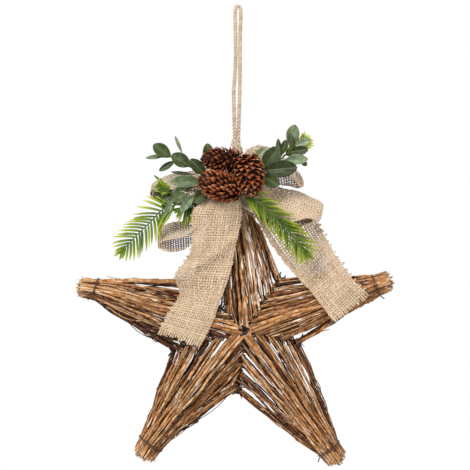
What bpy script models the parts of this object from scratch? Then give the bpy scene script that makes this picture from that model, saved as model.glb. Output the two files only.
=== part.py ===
"""Wooden star wall decoration: bound twigs over a wire frame, with a burlap bow, cones and greenery.

Metres, +Z up, the front faces -Y. The origin is the inside top of the hanging loop.
"""

import math
import random
from dataclasses import dataclass

import bmesh
import bpy
import numpy as np
from mathutils import Matrix, Vector

# Star
STAR_REACH = 0.205
STAR_DROP = 0.408
STAR_SHIFT = -0.002
FRONT_PEAK = 0.038
BACK_PEAK = 0.034
PEAK_RIGHT = 0.010
PEAK_UP = 0.006
CORNER_RADIUS = 0.080
CORNER_DEPTH = 0.007
GAP = 0.0003

# Twigs
TWIG_RADIUS = 0.0022
BUNDLE_RADIUS = 0.0120
BUNDLE_CORE = 0.0086
NECK_LENGTH = 0.006
TIP_STEP = 0.0015
ROOT_GAP = 0.0040
CORNER_CLEARANCE = 0.0045
INNER_INSET = 0.0046
TWIG_TAPER = 0.8

# Wire
FRAME_WIRE_RADIUS = 0.00125
FRAME_CORE = 0.0030
FRAME_WELD = 0.0009
FRAME_INSET = 0.0080
FRAME_OVERHANG = 0.0035
TIE_SETBACK = 0.0210
TIE_RADIUS = 0.0012
TIE_STRETCH = 2.0
CORNER_TIE_RADIUS = 0.0008
CENTRE_TIE_RADIUS = 0.0016
CENTRE_TIE_RING = 0.0050

# Twine
TWINE_RADIUS = 0.0023
LOOP_HALF_WIDTH = 0.0035
STRAND_SPREAD = 0.0027
KNOT_TOP = 0.1487
KNOT_HEIGHT = 0.0240
KNOT_WIDTH = 0.0146
KNOT_DEPTH = 0.0110
KNOT_MIDDLE = 0.1730
KNOT_SHIFT = -0.0017
SLING_SETBACK = 0.0115
SLING_STEPS = 14

# Bow
BOW_SETBACK = 0.0165
DRESSING_SIZE = 0.100
RIBBON_WIDTH = 0.060
RIBBON_THICKNESS = 0.0010
PINCH_HALF_WIDTH = 0.0110
PINCH_HALF_DEPTH = 0.0045
PINCH_HALF_HEIGHT = 0.0130
GATHER_LENGTH = 0.030
GATHER_WIDTH = 0.012
LOOP_STATIONS = 10
LOOP_START = 0.08
LOOP_PEAK_SHARE = 0.65
TAIL_STATIONS = 8
TAIL_WAVE = 0.0025
TAIL_WAVES = 1.5
STRIP_ACROSS = 3
RIGHT_TAIL_SHARE = 0.86
TAIL_END_TURNS = {"left": -12.0, "right": 14.0}

# Greenery
LEAF_THICKNESS = 0.0012
STEM_RADIUS = 0.0013
NEEDLE_RADIUS = 0.0011
CONE_SCALE_RELIEF = 0.24
CONE_AROUND = 14
CONE_RINGS = 9

COLLECTION_NAME = "wooden_star"
SIDES_TO_RESOLUTION = {4: 0, 6: 1, 8: 2}


@dataclass(frozen=True)
class Arm:
    """One point of the star. Bearings are clockwise degrees from straight up, seen from the front."""

    name: str
    bearing: float
    share: float


@dataclass(frozen=True)
class Corner:
    """The inner corner that follows an arm clockwise."""

    name: str
    bearing: float
    share: float


ARMS = (
    Arm("top_arm", -1.9, 0.99),
    Arm("right_arm", 70.6, 1.0),
    Arm("lower_right_arm", 141.0, 1.0),
    Arm("lower_left_arm", 216.8, 0.95),
    Arm("left_arm", 286.0, 1.005),
)
CORNERS = (
    Corner("upper_right_corner", 38.3, 1.09),
    Corner("right_corner", 97.0, 0.985),
    Corner("bottom_corner", 180.0, 0.88),
    Corner("left_corner", 257.2, 1.02),
    Corner("upper_left_corner", 321.7, 1.04),
)


@dataclass(frozen=True)
class Loop:
    """One loop of the bow, leaving the gathered middle at a bearing. Lengths are shares of DRESSING_SIZE."""

    bearing: float
    length: float
    fullness: float
    tilt: float
    lean: float
    width: float


LOOPS = (
    Loop(-88.0, 1.00, 0.16, 14.0, 0.20, 0.56),
    Loop(-128.0, 1.06, 0.20, 34.0, 0.16, 0.50),
    Loop(73.0, 0.86, 0.18, 30.0, 0.18, 0.56),
    Loop(108.5, 1.14, 0.20, 28.0, -0.06, 0.48),
)


@dataclass(frozen=True)
class Cone:
    """A pine cone: its middle from the bow's, its size and its tip's way, in shares of DRESSING_SIZE."""

    name: str
    middle: tuple
    length: float
    diameter: float
    tip: tuple


CONES = (
    Cone("upper_left_cone", (-0.158, -0.197, 0.322), 0.46, 0.33, (-1.0, -0.15, 0.05)),
    Cone("lower_left_cone", (-0.143, -0.317, -0.020), 0.56, 0.40, (-0.92, -0.25, 0.34)),
    Cone("right_cone", (0.232, -0.247, 0.147), 0.51, 0.37, (0.12, -0.2, -1.0)),
)


def direction(bearing):
    """Unit vector in the plane of the star, clockwise degrees from up."""
    angle = math.radians(bearing)
    return Vector((math.sin(angle), 0.0, math.cos(angle)))


FRONT = Vector((0.0, -1.0, 0.0))
STAR_CENTRE = Vector((STAR_SHIFT, 0.0, -STAR_DROP))
PEAKS = {
    "front": STAR_CENTRE + Vector((PEAK_RIGHT, -FRONT_PEAK, PEAK_UP)),
    "back": STAR_CENTRE + Vector((0.0, BACK_PEAK, 0.0)),
}
FACES = {"front": FRONT, "back": -FRONT}


def flat(vector):
    """The vector without its depth."""
    return Vector((vector.x, 0.0, vector.z))


def arm_point(arm, setback):
    """The point on an arm's axis that lies setback metres in from its end."""
    return STAR_CENTRE + direction(arm.bearing) * (STAR_REACH * arm.share - setback)


def corner_point(corner):
    """The inner corner in the middle plane of the star."""
    return STAR_CENTRE + direction(corner.bearing) * (CORNER_RADIUS * corner.share)


def clear_scene():
    """Removes the objects of the opened file."""
    for old in list(bpy.data.objects):
        bpy.data.objects.remove(old, do_unlink=True)


def make_collection(name):
    """A new collection in the scene."""
    made = bpy.data.collections.new(name)
    bpy.context.scene.collection.children.link(made)
    return made


def make_material(name, colour, roughness, metallic=0.0):
    """A plain Principled material."""
    made = bpy.data.materials.new(name)
    made.use_nodes = True
    shader = made.node_tree.nodes["Principled BSDF"]
    shader.inputs["Base Color"].default_value = (*colour, 1.0)
    shader.inputs["Roughness"].default_value = roughness
    shader.inputs["Metallic"].default_value = metallic
    return made


def link(name, mesh, collection):
    """An object for a mesh, in the collection."""
    made = bpy.data.objects.new(name, mesh)
    collection.objects.link(made)
    return made


def weld(mesh, distance=1e-6):
    """Merges the loose caps and doubled points of a mesh."""
    work = bmesh.new()
    work.from_mesh(mesh)
    bmesh.ops.remove_doubles(work, verts=work.verts, dist=distance)
    bmesh.ops.recalc_face_normals(work, faces=work.faces)
    work.to_mesh(mesh)
    work.free()


def evaluated_mesh(source):
    """The object's mesh with its modifiers applied, in world space."""
    bpy.context.view_layer.update()
    graph = bpy.context.evaluated_depsgraph_get()
    mesh = bpy.data.meshes.new_from_object(source.evaluated_get(graph))
    mesh.transform(source.matrix_world)
    return mesh


def tube(name, points, radius, collection, sides=6, shares=None, cyclic=False):
    """A tube of the given radius along points, as a closed mesh."""
    curve = bpy.data.curves.new(name, "CURVE")
    curve.dimensions = "3D"
    curve.bevel_depth = radius
    curve.bevel_resolution = SIDES_TO_RESOLUTION[sides]
    curve.use_fill_caps = not cyclic
    spline = curve.splines.new("POLY")
    spline.points.add(len(points) - 1)
    for index, place in enumerate(points):
        spline.points[index].co = (*place, 1.0)
        spline.points[index].radius = shares[index] if shares else 1.0
    spline.use_cyclic_u = cyclic
    rod = bpy.data.objects.new(name, curve)
    collection.objects.link(rod)
    mesh = evaluated_mesh(rod)
    bpy.data.objects.remove(rod)
    bpy.data.curves.remove(curve)
    weld(mesh)
    return link(name, mesh, collection)


def dress(piece, material, smooth_angle=math.radians(50)):
    """Gives the piece its one material and its shading."""
    mesh = piece.data
    mesh.materials.clear()
    mesh.materials.append(material)
    mesh.shade_smooth()
    mesh.set_sharp_from_angle(angle=smooth_angle)
    return piece


def fuse(name, pieces, collection):
    """Unites closed pieces that touch into one solid."""
    base = pieces[0]
    work = bmesh.new()
    for piece in pieces[1:]:
        work.from_mesh(evaluated_mesh(piece))
    others = bpy.data.meshes.new("others")
    work.to_mesh(others)
    work.free()
    operand = link("operand", others, collection)
    union = base.modifiers.new("Union", "BOOLEAN")
    union.operation = "UNION"
    union.solver = "EXACT"
    union.use_self = True
    union.object = operand
    mesh = evaluated_mesh(base)
    for piece in [*pieces, operand]:
        bpy.data.objects.remove(piece)
    weld(mesh, 2e-6)
    mesh.name = name
    return link(name, mesh, collection)


def torus(name, middle, axis, bore, radius, collection, steps=14, sides=6, stretch=1.0):
    """A ring whose facets clear a bore round the axis; stretch lengthens its section along it."""
    ring = bore / math.cos(math.pi / steps) + radius
    bpy.ops.mesh.primitive_torus_add(
        major_radius=ring, minor_radius=radius, major_segments=steps, minor_segments=sides
    )
    made = bpy.context.active_object
    turn = axis.to_track_quat("Z", "Y").to_matrix().to_4x4()
    made.data.transform(Matrix.Translation(middle) @ turn @ Matrix.Diagonal((1, 1, stretch, 1)))
    made.name = name
    for holder in list(made.users_collection):
        holder.objects.unlink(made)
    collection.objects.link(made)
    return made


def ellipsoid(name, middle, axis, half_sizes, collection, around=10, rings=8):
    """A stretched sphere whose third half size lies along the axis."""
    work = bmesh.new()
    bmesh.ops.create_uvsphere(work, u_segments=around, v_segments=rings, radius=1.0)
    turn = axis.to_track_quat("Z", "Y").to_matrix().to_4x4()
    place = Matrix.Translation(middle) @ turn @ Matrix.Diagonal((*half_sizes, 1.0))
    work.transform(place)
    mesh = bpy.data.meshes.new(name)
    work.to_mesh(mesh)
    work.free()
    return link(name, mesh, collection)


# Twigs

OUTER_ANGLES = {"front": (11.3, 28.15, 45.0, 61.85, 78.7), "back": (21.0, 37.0, 53.0, 69.0)}
SIDES_OF_TWIGS = {"front": 6, "back": 4}
THICKNESS = {"front": 1.0, "back": 1.15}
INNER_ANGLES = {"front": (45.0,), "back": ()}
INNER_ROOTS = (0.38,)
SIDES = {"right": 1.0, "left": -1.0}


def valley(arm_index, side, face):
    """The valley line beside an arm: its start at the peak and its end at the inner corner."""
    corner = CORNERS[arm_index if side == "right" else arm_index - 1]
    return PEAKS[face], corner_point(corner) + FACES[face] * CORNER_DEPTH


def root_line(arm_index, side, face):
    """The first and last root of a fan's twigs, clear of the valley, the ridge and the corner tie."""
    peak, corner = valley(arm_index, side, face)
    neck = arm_point(ARMS[arm_index], TIE_SETBACK + NECK_LENGTH)
    along = flat(corner - peak).normalized()
    ridge = flat(neck - peak).normalized()
    angle = along.angle(ridge)
    inward = (ridge - along * along.dot(ridge)).normalized()
    first = (ROOT_GAP * math.cos(angle) + TWIG_RADIUS * 2.0) / math.sin(angle)
    length = flat(corner - peak).length
    slope = (corner.y - peak.y) / length
    ends = []
    for distance in (first, length - CORNER_CLEARANCE):
        depth = Vector((0.0, peak.y + slope * distance, 0.0))
        ends.append(flat(peak) + along * distance + inward * ROOT_GAP + depth)
    return ends


def twig_path(arm_index, side, face, angle, ring, root, order):
    """One twig: its end in the bundle, the neck behind the tie and its root at the valley."""
    arm = ARMS[arm_index]
    turn = math.radians(angle)
    sideways = direction(arm.bearing + 90.0) * SIDES[side]
    offset = (sideways * math.sin(turn) + FACES[face] * math.cos(turn)) * ring
    end = arm_point(arm, TIP_STEP * (order % 3)) + offset
    neck = arm_point(arm, TIE_SETBACK + NECK_LENGTH) + offset
    return end, neck, root


def twig_fan(arm_index, side, face, collection):
    """A quarter of an arm: twigs that share the bundle at the tip and spread to the valley."""
    first, last = root_line(arm_index, side, face)
    shares = (TWIG_TAPER, 1.0, 1.0)
    radius = TWIG_RADIUS * THICKNESS[face]
    twigs = []
    angles = OUTER_ANGLES[face]
    for order, angle in enumerate(angles):
        root = first.lerp(last, order / (len(angles) - 1))
        path = twig_path(arm_index, side, face, angle, BUNDLE_RADIUS, root, order)
        twigs.append(tube("twig", path, radius, collection, SIDES_OF_TWIGS[face], shares))
    for order, angle in enumerate(INNER_ANGLES[face]):
        root = first.lerp(last, INNER_ROOTS[order]) - FACES[face] * INNER_INSET
        path = twig_path(arm_index, side, face, angle, BUNDLE_CORE, root, order + 1)
        twigs.append(tube("twig", path, TWIG_RADIUS, collection, 4, shares))
    name = f"{ARMS[arm_index].name}_{face}_{side}_twigs"
    return fuse(name, twigs, collection)


# Wire


def frame_hub(face):
    """The point under a peak where the frame's rods are welded."""
    return PEAKS[face] - FACES[face] * FRAME_INSET


def wire_frame(collection):
    """Rods along every ridge and valley, front and back, welded into one frame."""
    rods = []
    for face, outward in FACES.items():
        hub = frame_hub(face)
        rods.append(ellipsoid("weld", hub, FRONT, (FRAME_WIRE_RADIUS * 2,) * 3, collection, 6, 4))
        for arm in ARMS:
            tip = arm_point(arm, TIE_SETBACK / 2) + outward * FRAME_WELD
            neck = arm_point(arm, TIE_SETBACK + NECK_LENGTH) + outward * FRAME_CORE
            rods.append(tube("rod", (tip, neck, hub), FRAME_WIRE_RADIUS, collection, 4))
        for corner in CORNERS:
            foot = corner_point(corner) + outward * FRAME_WELD
            beyond = flat(corner_point(corner) - STAR_CENTRE).normalized() * FRAME_OVERHANG
            rods.append(tube("rod", (hub, foot, foot + beyond), FRAME_WIRE_RADIUS, collection, 4))
    return fuse("wire_frame", rods, collection)


BUNDLE_BORE = BUNDLE_RADIUS + TWIG_RADIUS + GAP


def tip_tie(arm, collection):
    """The wire wound round the bundle at the end of an arm."""
    middle = arm_point(arm, TIE_SETBACK)
    name = arm.name.replace("_arm", "_tip_tie")
    axis = direction(arm.bearing)
    return torus(name, middle, axis, BUNDLE_BORE, TIE_RADIUS, collection, 10, 4, TIE_STRETCH)


def corner_tie(corner, collection):
    """The small wire ring that holds the rods together just outside an inner corner."""
    bore = FRAME_WELD + FRAME_WIRE_RADIUS + GAP
    outward = direction(corner.bearing)
    middle = corner_point(corner) + outward * FRAME_OVERHANG / 2
    return torus(f"{corner.name}_tie", middle, outward, bore, CORNER_TIE_RADIUS, collection, 6, 4)


def centre_tie(collection):
    """The wire knot on the front weld."""
    middle = frame_hub("front") + FRONT * (FRAME_WIRE_RADIUS * 2 + GAP + CENTRE_TIE_RADIUS)
    bore = CENTRE_TIE_RING - CENTRE_TIE_RADIUS
    ring = torus("ring", middle, FRONT, bore, CENTRE_TIE_RADIUS, collection, 8, 4)
    reach = direction(40.0) * CENTRE_TIE_RING
    bar = tube("bar", (middle - reach, middle, middle + reach), CENTRE_TIE_RADIUS, collection, 4)
    return fuse("centre_tie", [ring, bar], collection)


# Twine


def spline_points(points, steps):
    """Points on a Catmull-Rom curve through the given ones, with a number of steps to each span."""
    given = [Vector(place) for place in (points[0], *points, points[-1])]
    made = []
    for index in range(len(points) - 1):
        a, b, c, d = given[index:index + 4]
        for step in range(steps):
            t = step / steps
            slope = (c - a) * t
            bend = (2 * a - 5 * b + 4 * c - d) * t**2
            twist = (3 * b - a - 3 * c + d) * t**3
            made.append(b + 0.5 * (slope + bend + twist))
    made.append(given[-1])
    return made


def smooth_path(points, count):
    """Evenly spaced points on the curve through the given ones."""
    fine = spline_points(points, 24)
    lengths = np.cumsum([0.0] + [(q - p).length for p, q in zip(fine, fine[1:])])
    stations = np.linspace(0.0, lengths[-1], count)
    columns = [np.interp(stations, lengths, [p[axis] for p in fine]) for axis in range(3)]
    return [Vector(place) for place in zip(*columns)]


TWINE_ROUTE = (
    (KNOT_SHIFT - STRAND_SPREAD, 0.0, -KNOT_TOP),
    (LOOP_HALF_WIDTH * -1.37, 0.0, KNOT_TOP * -0.8742),
    (LOOP_HALF_WIDTH * -1.51, 0.0, KNOT_TOP * -0.7061),
    (LOOP_HALF_WIDTH * -1.03, 0.0, KNOT_TOP * -0.5380),
    (LOOP_HALF_WIDTH * -0.80, 0.0, KNOT_TOP * -0.3699),
    (LOOP_HALF_WIDTH * -0.89, 0.0, KNOT_TOP * -0.2017),
    (-LOOP_HALF_WIDTH, 0.0, -KNOT_TOP * 0.0672),
    (-LOOP_HALF_WIDTH * 0.85, 0.0, -KNOT_TOP * 0.0034),
    (0.0, 0.0, TWINE_RADIUS),
    (LOOP_HALF_WIDTH * 0.85, 0.0, -KNOT_TOP * 0.0034),
    (LOOP_HALF_WIDTH, 0.0, -KNOT_TOP * 0.0672),
    (LOOP_HALF_WIDTH * 0.83, 0.0, KNOT_TOP * -0.2017),
    (LOOP_HALF_WIDTH * 0.74, 0.0, KNOT_TOP * -0.3699),
    (LOOP_HALF_WIDTH * 0.69, 0.0, KNOT_TOP * -0.5380),
    (LOOP_HALF_WIDTH * 0.63, 0.0, KNOT_TOP * -0.7061),
    (LOOP_HALF_WIDTH * 0.40, 0.0, KNOT_TOP * -0.8742),
    (KNOT_SHIFT + STRAND_SPREAD, 0.0, -KNOT_TOP),
)
POINTS_PER_SPAN = 2


def hanging_cord(collection):
    """The loop of twine: up from the knot, over the nail and back down."""
    path = spline_points(TWINE_ROUTE, POINTS_PER_SPAN)
    return tube("hanging_cord", path, TWINE_RADIUS, collection, 8)


def cord_knot(collection):
    """The knot in the doubled twine and the sling that carries the top point of the star."""
    top = ARMS[0]
    axis = direction(top.bearing)
    across = direction(top.bearing + 90.0)
    middle = Vector((KNOT_SHIFT, 0.0, -KNOT_MIDDLE))
    ring = BUNDLE_BORE / math.cos(math.pi / SLING_STEPS) + TWINE_RADIUS
    sling = arm_point(top, SLING_SETBACK)
    pieces = [
        ellipsoid("knot", middle, Vector((0, 0, 1)),
                  (KNOT_WIDTH / 2, KNOT_DEPTH / 2, KNOT_HEIGHT / 2), collection, 8, 6),
        torus("turn", middle, Vector((0.35, 0.1, 1.0)), KNOT_WIDTH / 2 - TWINE_RADIUS * 1.8,
              TWINE_RADIUS, collection, 8, 4),
        torus("sling", sling, axis, BUNDLE_BORE, TWINE_RADIUS, collection, SLING_STEPS, 4),
    ]
    for side in (-1.0, 1.0):
        neck_foot = Vector((KNOT_SHIFT + side * STRAND_SPREAD * 0.8, 0.0, -KNOT_MIDDLE))
        neck_top = Vector((KNOT_SHIFT + side * STRAND_SPREAD, 0.0, -KNOT_TOP - GAP))
        pieces.append(tube("neck", (neck_foot, neck_top), TWINE_RADIUS, collection, 8))
        shoulder = arm_point(top, -TWINE_RADIUS) + across * side * ring
        hip = sling + across * side * ring
        start = Vector((KNOT_SHIFT, 0.0, -KNOT_MIDDLE - KNOT_HEIGHT * 0.3))
        pieces.append(tube("strand", (start, shoulder, hip), TWINE_RADIUS, collection, 4))
    return fuse("cord_knot", pieces, collection)


# Bow

SLING_FRONT = BUNDLE_BORE / math.cos(math.pi / SLING_STEPS) + TWINE_RADIUS * 2
PINCH_DEPTH = SLING_FRONT + GAP + PINCH_HALF_DEPTH
PINCH = arm_point(ARMS[0], BOW_SETBACK) + FRONT * PINCH_DEPTH


def dressed(place):
    """A place given from the middle of the bow in shares of DRESSING_SIZE, in metres."""
    return PINCH + Vector(place) * DRESSING_SIZE


def ease(value):
    """Smooth step from 0 to 1."""
    t = min(max(value, 0.0), 1.0)
    return t * t * (3.0 - 2.0 * t)


def strip(name, rows, collection):
    """A ribbon from rows of points, thickened evenly to both sides."""
    count, across = len(rows), len(rows[0])
    corners = [tuple(place) for row in rows for place in row]
    faces = []
    for i in range(count - 1):
        for j in range(across - 1):
            a = i * across + j
            faces.append((a, a + 1, a + 1 + across, a + across))
    mesh = bpy.data.meshes.new(name)
    mesh.from_pydata(corners, [], faces)
    piece = link(name, mesh, collection)
    wall = piece.modifiers.new("Thickness", "SOLIDIFY")
    wall.thickness = RIBBON_THICKNESS
    wall.offset = 0.0
    solid = evaluated_mesh(piece)
    bpy.data.objects.remove(piece)
    weld(solid)
    return link(name, solid, collection)


def loop_rows(loop):
    """Rows across a loop: a teardrop path out from the pinch, round and back behind."""
    out = direction(loop.bearing)
    upward = direction(loop.bearing - 90.0 if loop.bearing > 0 else loop.bearing + 90.0)
    length, fullness, lean, full_width = (
        share * DRESSING_SIZE for share in (loop.length, loop.fullness, loop.lean, loop.width)
    )
    rows = []
    for station in range(LOOP_STATIONS + 1):
        t = LOOP_START + (1.0 - 2.0 * LOOP_START) * station / LOOP_STATIONS
        swell = math.sin(math.pi * t) ** 2
        bulge = math.sin(2.0 * math.pi * t) * swell / LOOP_PEAK_SHARE
        run = length * swell
        depth = -fullness / 2 * bulge + lean * ease(swell)
        width = GATHER_WIDTH + (full_width - GATHER_WIDTH) * ease(run / GATHER_LENGTH)
        tilt = math.radians(loop.tilt) * ease(run / GATHER_LENGTH)
        across = upward * math.cos(tilt) - FRONT * math.sin(tilt)
        middle = PINCH + out * run - FRONT * depth
        rows.append([middle + across * width * (k / (STRIP_ACROSS - 1) - 0.5)
                     for k in range(STRIP_ACROSS)])
    return rows


LEFT_TAIL = (
    (0.002, -0.027, -0.023),
    (-0.108, -0.117, -0.203),
    (-0.183, -0.157, -0.403),
    (-0.248, -0.157, -0.803),
    (-0.398, -0.147, -1.383),
    (-0.558, -0.137, -1.723),
    (-0.633, -0.127, -1.913),
)
RIGHT_TAIL = (
    (0.042, -0.002, -0.033),
    (0.322, 0.018, -0.263),
    (0.612, 0.033, -0.403),
    (0.842, 0.003, -0.723),
    (1.112, -0.047, -1.113),
    (1.312, -0.067, -1.313),
    (1.477, -0.067, -1.523),
)


def tail_rows(route, width, end_turn):
    """Rows across a tail: square to its path at first, turning to its slanted end."""
    path = smooth_path([dressed(place) for place in route], TAIL_STATIONS + 1)
    rows = []
    for station, middle in enumerate(path):
        before = path[max(station - 1, 0)]
        after = path[min(station + 1, TAIL_STATIONS)]
        along = flat(after - before).normalized()
        share = station / TAIL_STATIONS
        turn = Matrix.Rotation(math.radians(end_turn) * ease(share * 3.0 - 2.0), 3, "Y")
        across = turn @ along.cross(FRONT)
        run = (middle - path[0]).length
        size = GATHER_WIDTH + (width - GATHER_WIDTH) * ease(run / GATHER_LENGTH)
        wave = TAIL_WAVE * math.sin(TAIL_WAVES * math.tau * share)
        row = []
        for k in range(STRIP_ACROSS):
            place = k / (STRIP_ACROSS - 1) - 0.5
            crown = wave * (1.0 if k == 1 else -1.0)
            row.append(middle + across * size * place + FRONT * crown)
        rows.append(row)
    return rows


def burlap_bow(collection):
    """One length of ribbon folded into four loops and two tails, gathered in the middle."""
    pinch_sizes = (PINCH_HALF_WIDTH, PINCH_HALF_DEPTH, PINCH_HALF_HEIGHT)
    pieces = [ellipsoid("pinch", PINCH, Vector((0, 0, 1)), pinch_sizes, collection, 10, 6)]
    pieces += [strip("loop", loop_rows(loop), collection) for loop in LOOPS]
    pieces.append(strip("tail", tail_rows(LEFT_TAIL, RIBBON_WIDTH, TAIL_END_TURNS["left"]), collection))
    right_width = RIBBON_WIDTH * RIGHT_TAIL_SHARE
    pieces.append(strip("tail", tail_rows(RIGHT_TAIL, right_width, TAIL_END_TURNS["right"]), collection))
    return fuse("burlap_bow", pieces, collection)


# Cones and greenery


def pine_cone(cone, collection):
    """An egg-shaped cone whose facets stand out in turn, like the scales."""
    around, rings = CONE_AROUND, CONE_RINGS
    work = bmesh.new()
    bmesh.ops.create_uvsphere(work, u_segments=around, v_segments=rings, radius=1.0)
    for corner in work.verts:
        ring = round(math.acos(max(-1.0, min(1.0, corner.co.z))) / math.pi * rings)
        column = round(math.atan2(corner.co.y, corner.co.x) / math.tau * around)
        if 0 < ring < rings and (ring + column) % 2:
            corner.co *= 1.0 - CONE_SCALE_RELIEF
        taper = 1.0 - 0.16 * corner.co.z
        corner.co.x *= taper
        corner.co.y *= taper
    turn = Vector(cone.tip).normalized().to_track_quat("Z", "Y").to_matrix().to_4x4()
    half = [size * DRESSING_SIZE / 2 for size in (cone.diameter, cone.diameter, cone.length)]
    work.transform(Matrix.Translation(dressed(cone.middle)) @ turn @ Matrix.Diagonal((*half, 1.0)))
    mesh = bpy.data.meshes.new(cone.name)
    work.to_mesh(mesh)
    work.free()
    return link(cone.name, mesh, collection)


def leaf(base, tip, width, facing, collection):
    """A thin spoon-shaped leaf from its foot on the stem to its tip."""
    work = bmesh.new()
    bmesh.ops.create_uvsphere(work, u_segments=4, v_segments=3, radius=1.0)
    for corner in work.verts:
        blade = corner.co.z > 0
        if abs(corner.co.z) < 0.9:
            corner.co.x *= 1.15 if blade else 0.70
            corner.co.z = 0.42 if blade else -0.25
    length = (tip - base).length
    along = (tip - base).normalized()
    side = along.cross(facing).normalized()
    turn = Matrix((side, along.cross(side), along)).transposed().to_4x4()
    place = Matrix.Translation((base + tip) / 2) @ turn
    work.transform(place @ Matrix.Diagonal((width / 2, LEAF_THICKNESS, length / 2, 1.0)))
    mesh = bpy.data.meshes.new("leaf")
    work.to_mesh(mesh)
    work.free()
    return link("leaf", mesh, collection)


LEFT_STEMS = (
    ((-0.018, -0.022, 0.167), (-0.368, -0.047, 0.187), (-0.698, -0.087, 0.257)),
    ((-0.018, -0.022, 0.167), (-0.368, -0.047, 0.187), (-0.778, -0.217, -0.043)),
)
LEFT_LEAVES = (
    (0, 0.95, (-0.978, -0.087, 0.497), 0.16),
    (0, 0.75, (-0.618, -0.077, 0.597), 0.11),
    (0, 0.80, (-0.518, -0.157, 0.387), 0.21),
    (0, 0.97, (-0.918, -0.097, 0.257), 0.14),
    (0, 0.45, (-0.228, -0.007, 0.507), 0.12),
    (1, 0.55, (-0.358, -0.137, 0.357), 0.17),
    (1, 0.60, (-0.718, -0.197, 0.057), 0.18),
    (1, 0.85, (-0.618, -0.277, -0.203), 0.17),
    (1, 0.95, (-0.558, -0.317, -0.323), 0.12),
    (1, 0.97, (-0.878, -0.257, -0.323), 0.10),
    (1, 0.95, (-0.958, -0.217, -0.123), 0.15),
)
RIGHT_STEMS = (
    ((0.042, -0.022, 0.177), (0.482, -0.047, 0.257), (0.742, -0.057, 0.417)),
    ((0.042, -0.022, 0.177), (0.422, -0.057, 0.217), (0.682, -0.157, 0.157)),
)
RIGHT_LEAVES = (
    (0, 0.90, (0.782, -0.087, 0.767), 0.13),
    (0, 0.60, (0.502, -0.177, 0.497), 0.24),
    (0, 0.70, (0.622, -0.057, 0.597), 0.11),
    (0, 0.95, (0.962, -0.137, 0.357), 0.16),
    (0, 0.97, (0.962, -0.057, 0.497), 0.10),
    (0, 0.45, (0.302, -0.027, 0.457), 0.13),
    (1, 0.75, (0.802, -0.197, 0.187), 0.21),
    (1, 0.90, (0.582, -0.187, -0.013), 0.19),
)


def point_on(stem, share):
    """The place a share of the way along a stem's points."""
    scaled = share * (len(stem) - 1)
    index = min(int(scaled), len(stem) - 2)
    return Vector(stem[index]).lerp(Vector(stem[index + 1]), scaled - index)


def leaf_sprig(name, stems, leaves, collection):
    """Stems from the bow with their leaves."""
    lines = [[dressed(place) for place in stem] for stem in stems]
    pieces = [tube("stem", line, STEM_RADIUS, collection, 4) for line in lines]
    for stem, share, tip, width in leaves:
        base = point_on(lines[stem], share)
        pieces.append(leaf(base, dressed(tip), width * DRESSING_SIZE, FRONT, collection))
    return fuse(name, pieces, collection)


@dataclass(frozen=True)
class PineSprig:
    """An artificial pine twig: its stem, its pairs of needles, their length and their sweep."""

    name: str
    stem: tuple
    bare: float
    pairs: int
    needle: float
    sweep: float
    seed: int


PINE_SPRIGS = (
    PineSprig("left_pine_sprig",
              ((-0.108, -0.177, -0.223), (-0.278, -0.232, -0.248), (-0.478, -0.257, -0.248),
               (-0.858, -0.237, -0.303), (-1.428, -0.157, -0.813)),
              0.52, 11, 0.26, 38.0, 3),
    PineSprig("right_pine_sprig",
              ((0.122, -0.157, -0.203), (0.412, -0.307, -0.383), (0.832, -0.317, -0.743),
               (1.002, -0.277, -0.933)),
              0.05, 13, 0.24, 40.0, 5),
    PineSprig("lower_pine_sprig",
              ((-0.058, -0.167, -0.313), (-0.358, -0.287, -0.383)), 0.15, 5, 0.16, 60.0, 7),
    PineSprig("upper_pine_sprig",
              ((0.722, 0.003, 0.337), (0.882, 0.003, 0.557)), 0.1, 4, 0.13, 35.0, 11),
)


def pine_sprig(sprig, collection):
    """A stem with slim needles that sweep forward: each is a short side face drawn out to a point."""
    chance = random.Random(sprig.seed)
    fine = smooth_path([dressed(place) for place in sprig.stem], 60)
    length = sum((b - a).length for a, b in zip(fine, fine[1:]))
    step = NEEDLE_RADIUS * 2.0 / length
    shares = [0.0]
    feet = [sprig.bare + (0.98 - sprig.bare) * k / (sprig.pairs - 1) for k in range(sprig.pairs)]
    for foot in feet:
        shares += [foot - step / 2, foot + step / 2]
    path = [point_on(fine, share) for share in shares]
    stem = tube(sprig.name, path, STEM_RADIUS, collection, 4)
    work = bmesh.new()
    work.from_mesh(stem.data)
    for foot in feet:
        middle = point_on(fine, foot)
        ahead = (point_on(fine, foot + 0.01) - point_on(fine, foot - 0.01)).normalized()
        near = [face for face in work.faces
                if len(face.verts) == 4
                and (face.calc_center_median() - middle).length < STEM_RADIUS * 1.2]
        for side in (-1.0, 1.0):
            outward = ahead.cross(FRONT) * side
            chosen = max(near, key=lambda face: face.normal.dot(outward))
            near.remove(chosen)
            lift = Matrix.Rotation(math.radians(chance.uniform(-20, 20)), 3, ahead)
            spread = math.radians(sprig.sweep * chance.uniform(0.85, 1.15))
            way = lift @ (ahead * math.cos(spread) + outward * math.sin(spread))
            tip = bmesh.ops.poke(work, faces=[chosen])["verts"][0]
            tip.co = middle + way * sprig.needle * DRESSING_SIZE * chance.uniform(0.85, 1.0)
    work.to_mesh(stem.data)
    work.free()
    return stem


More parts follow.
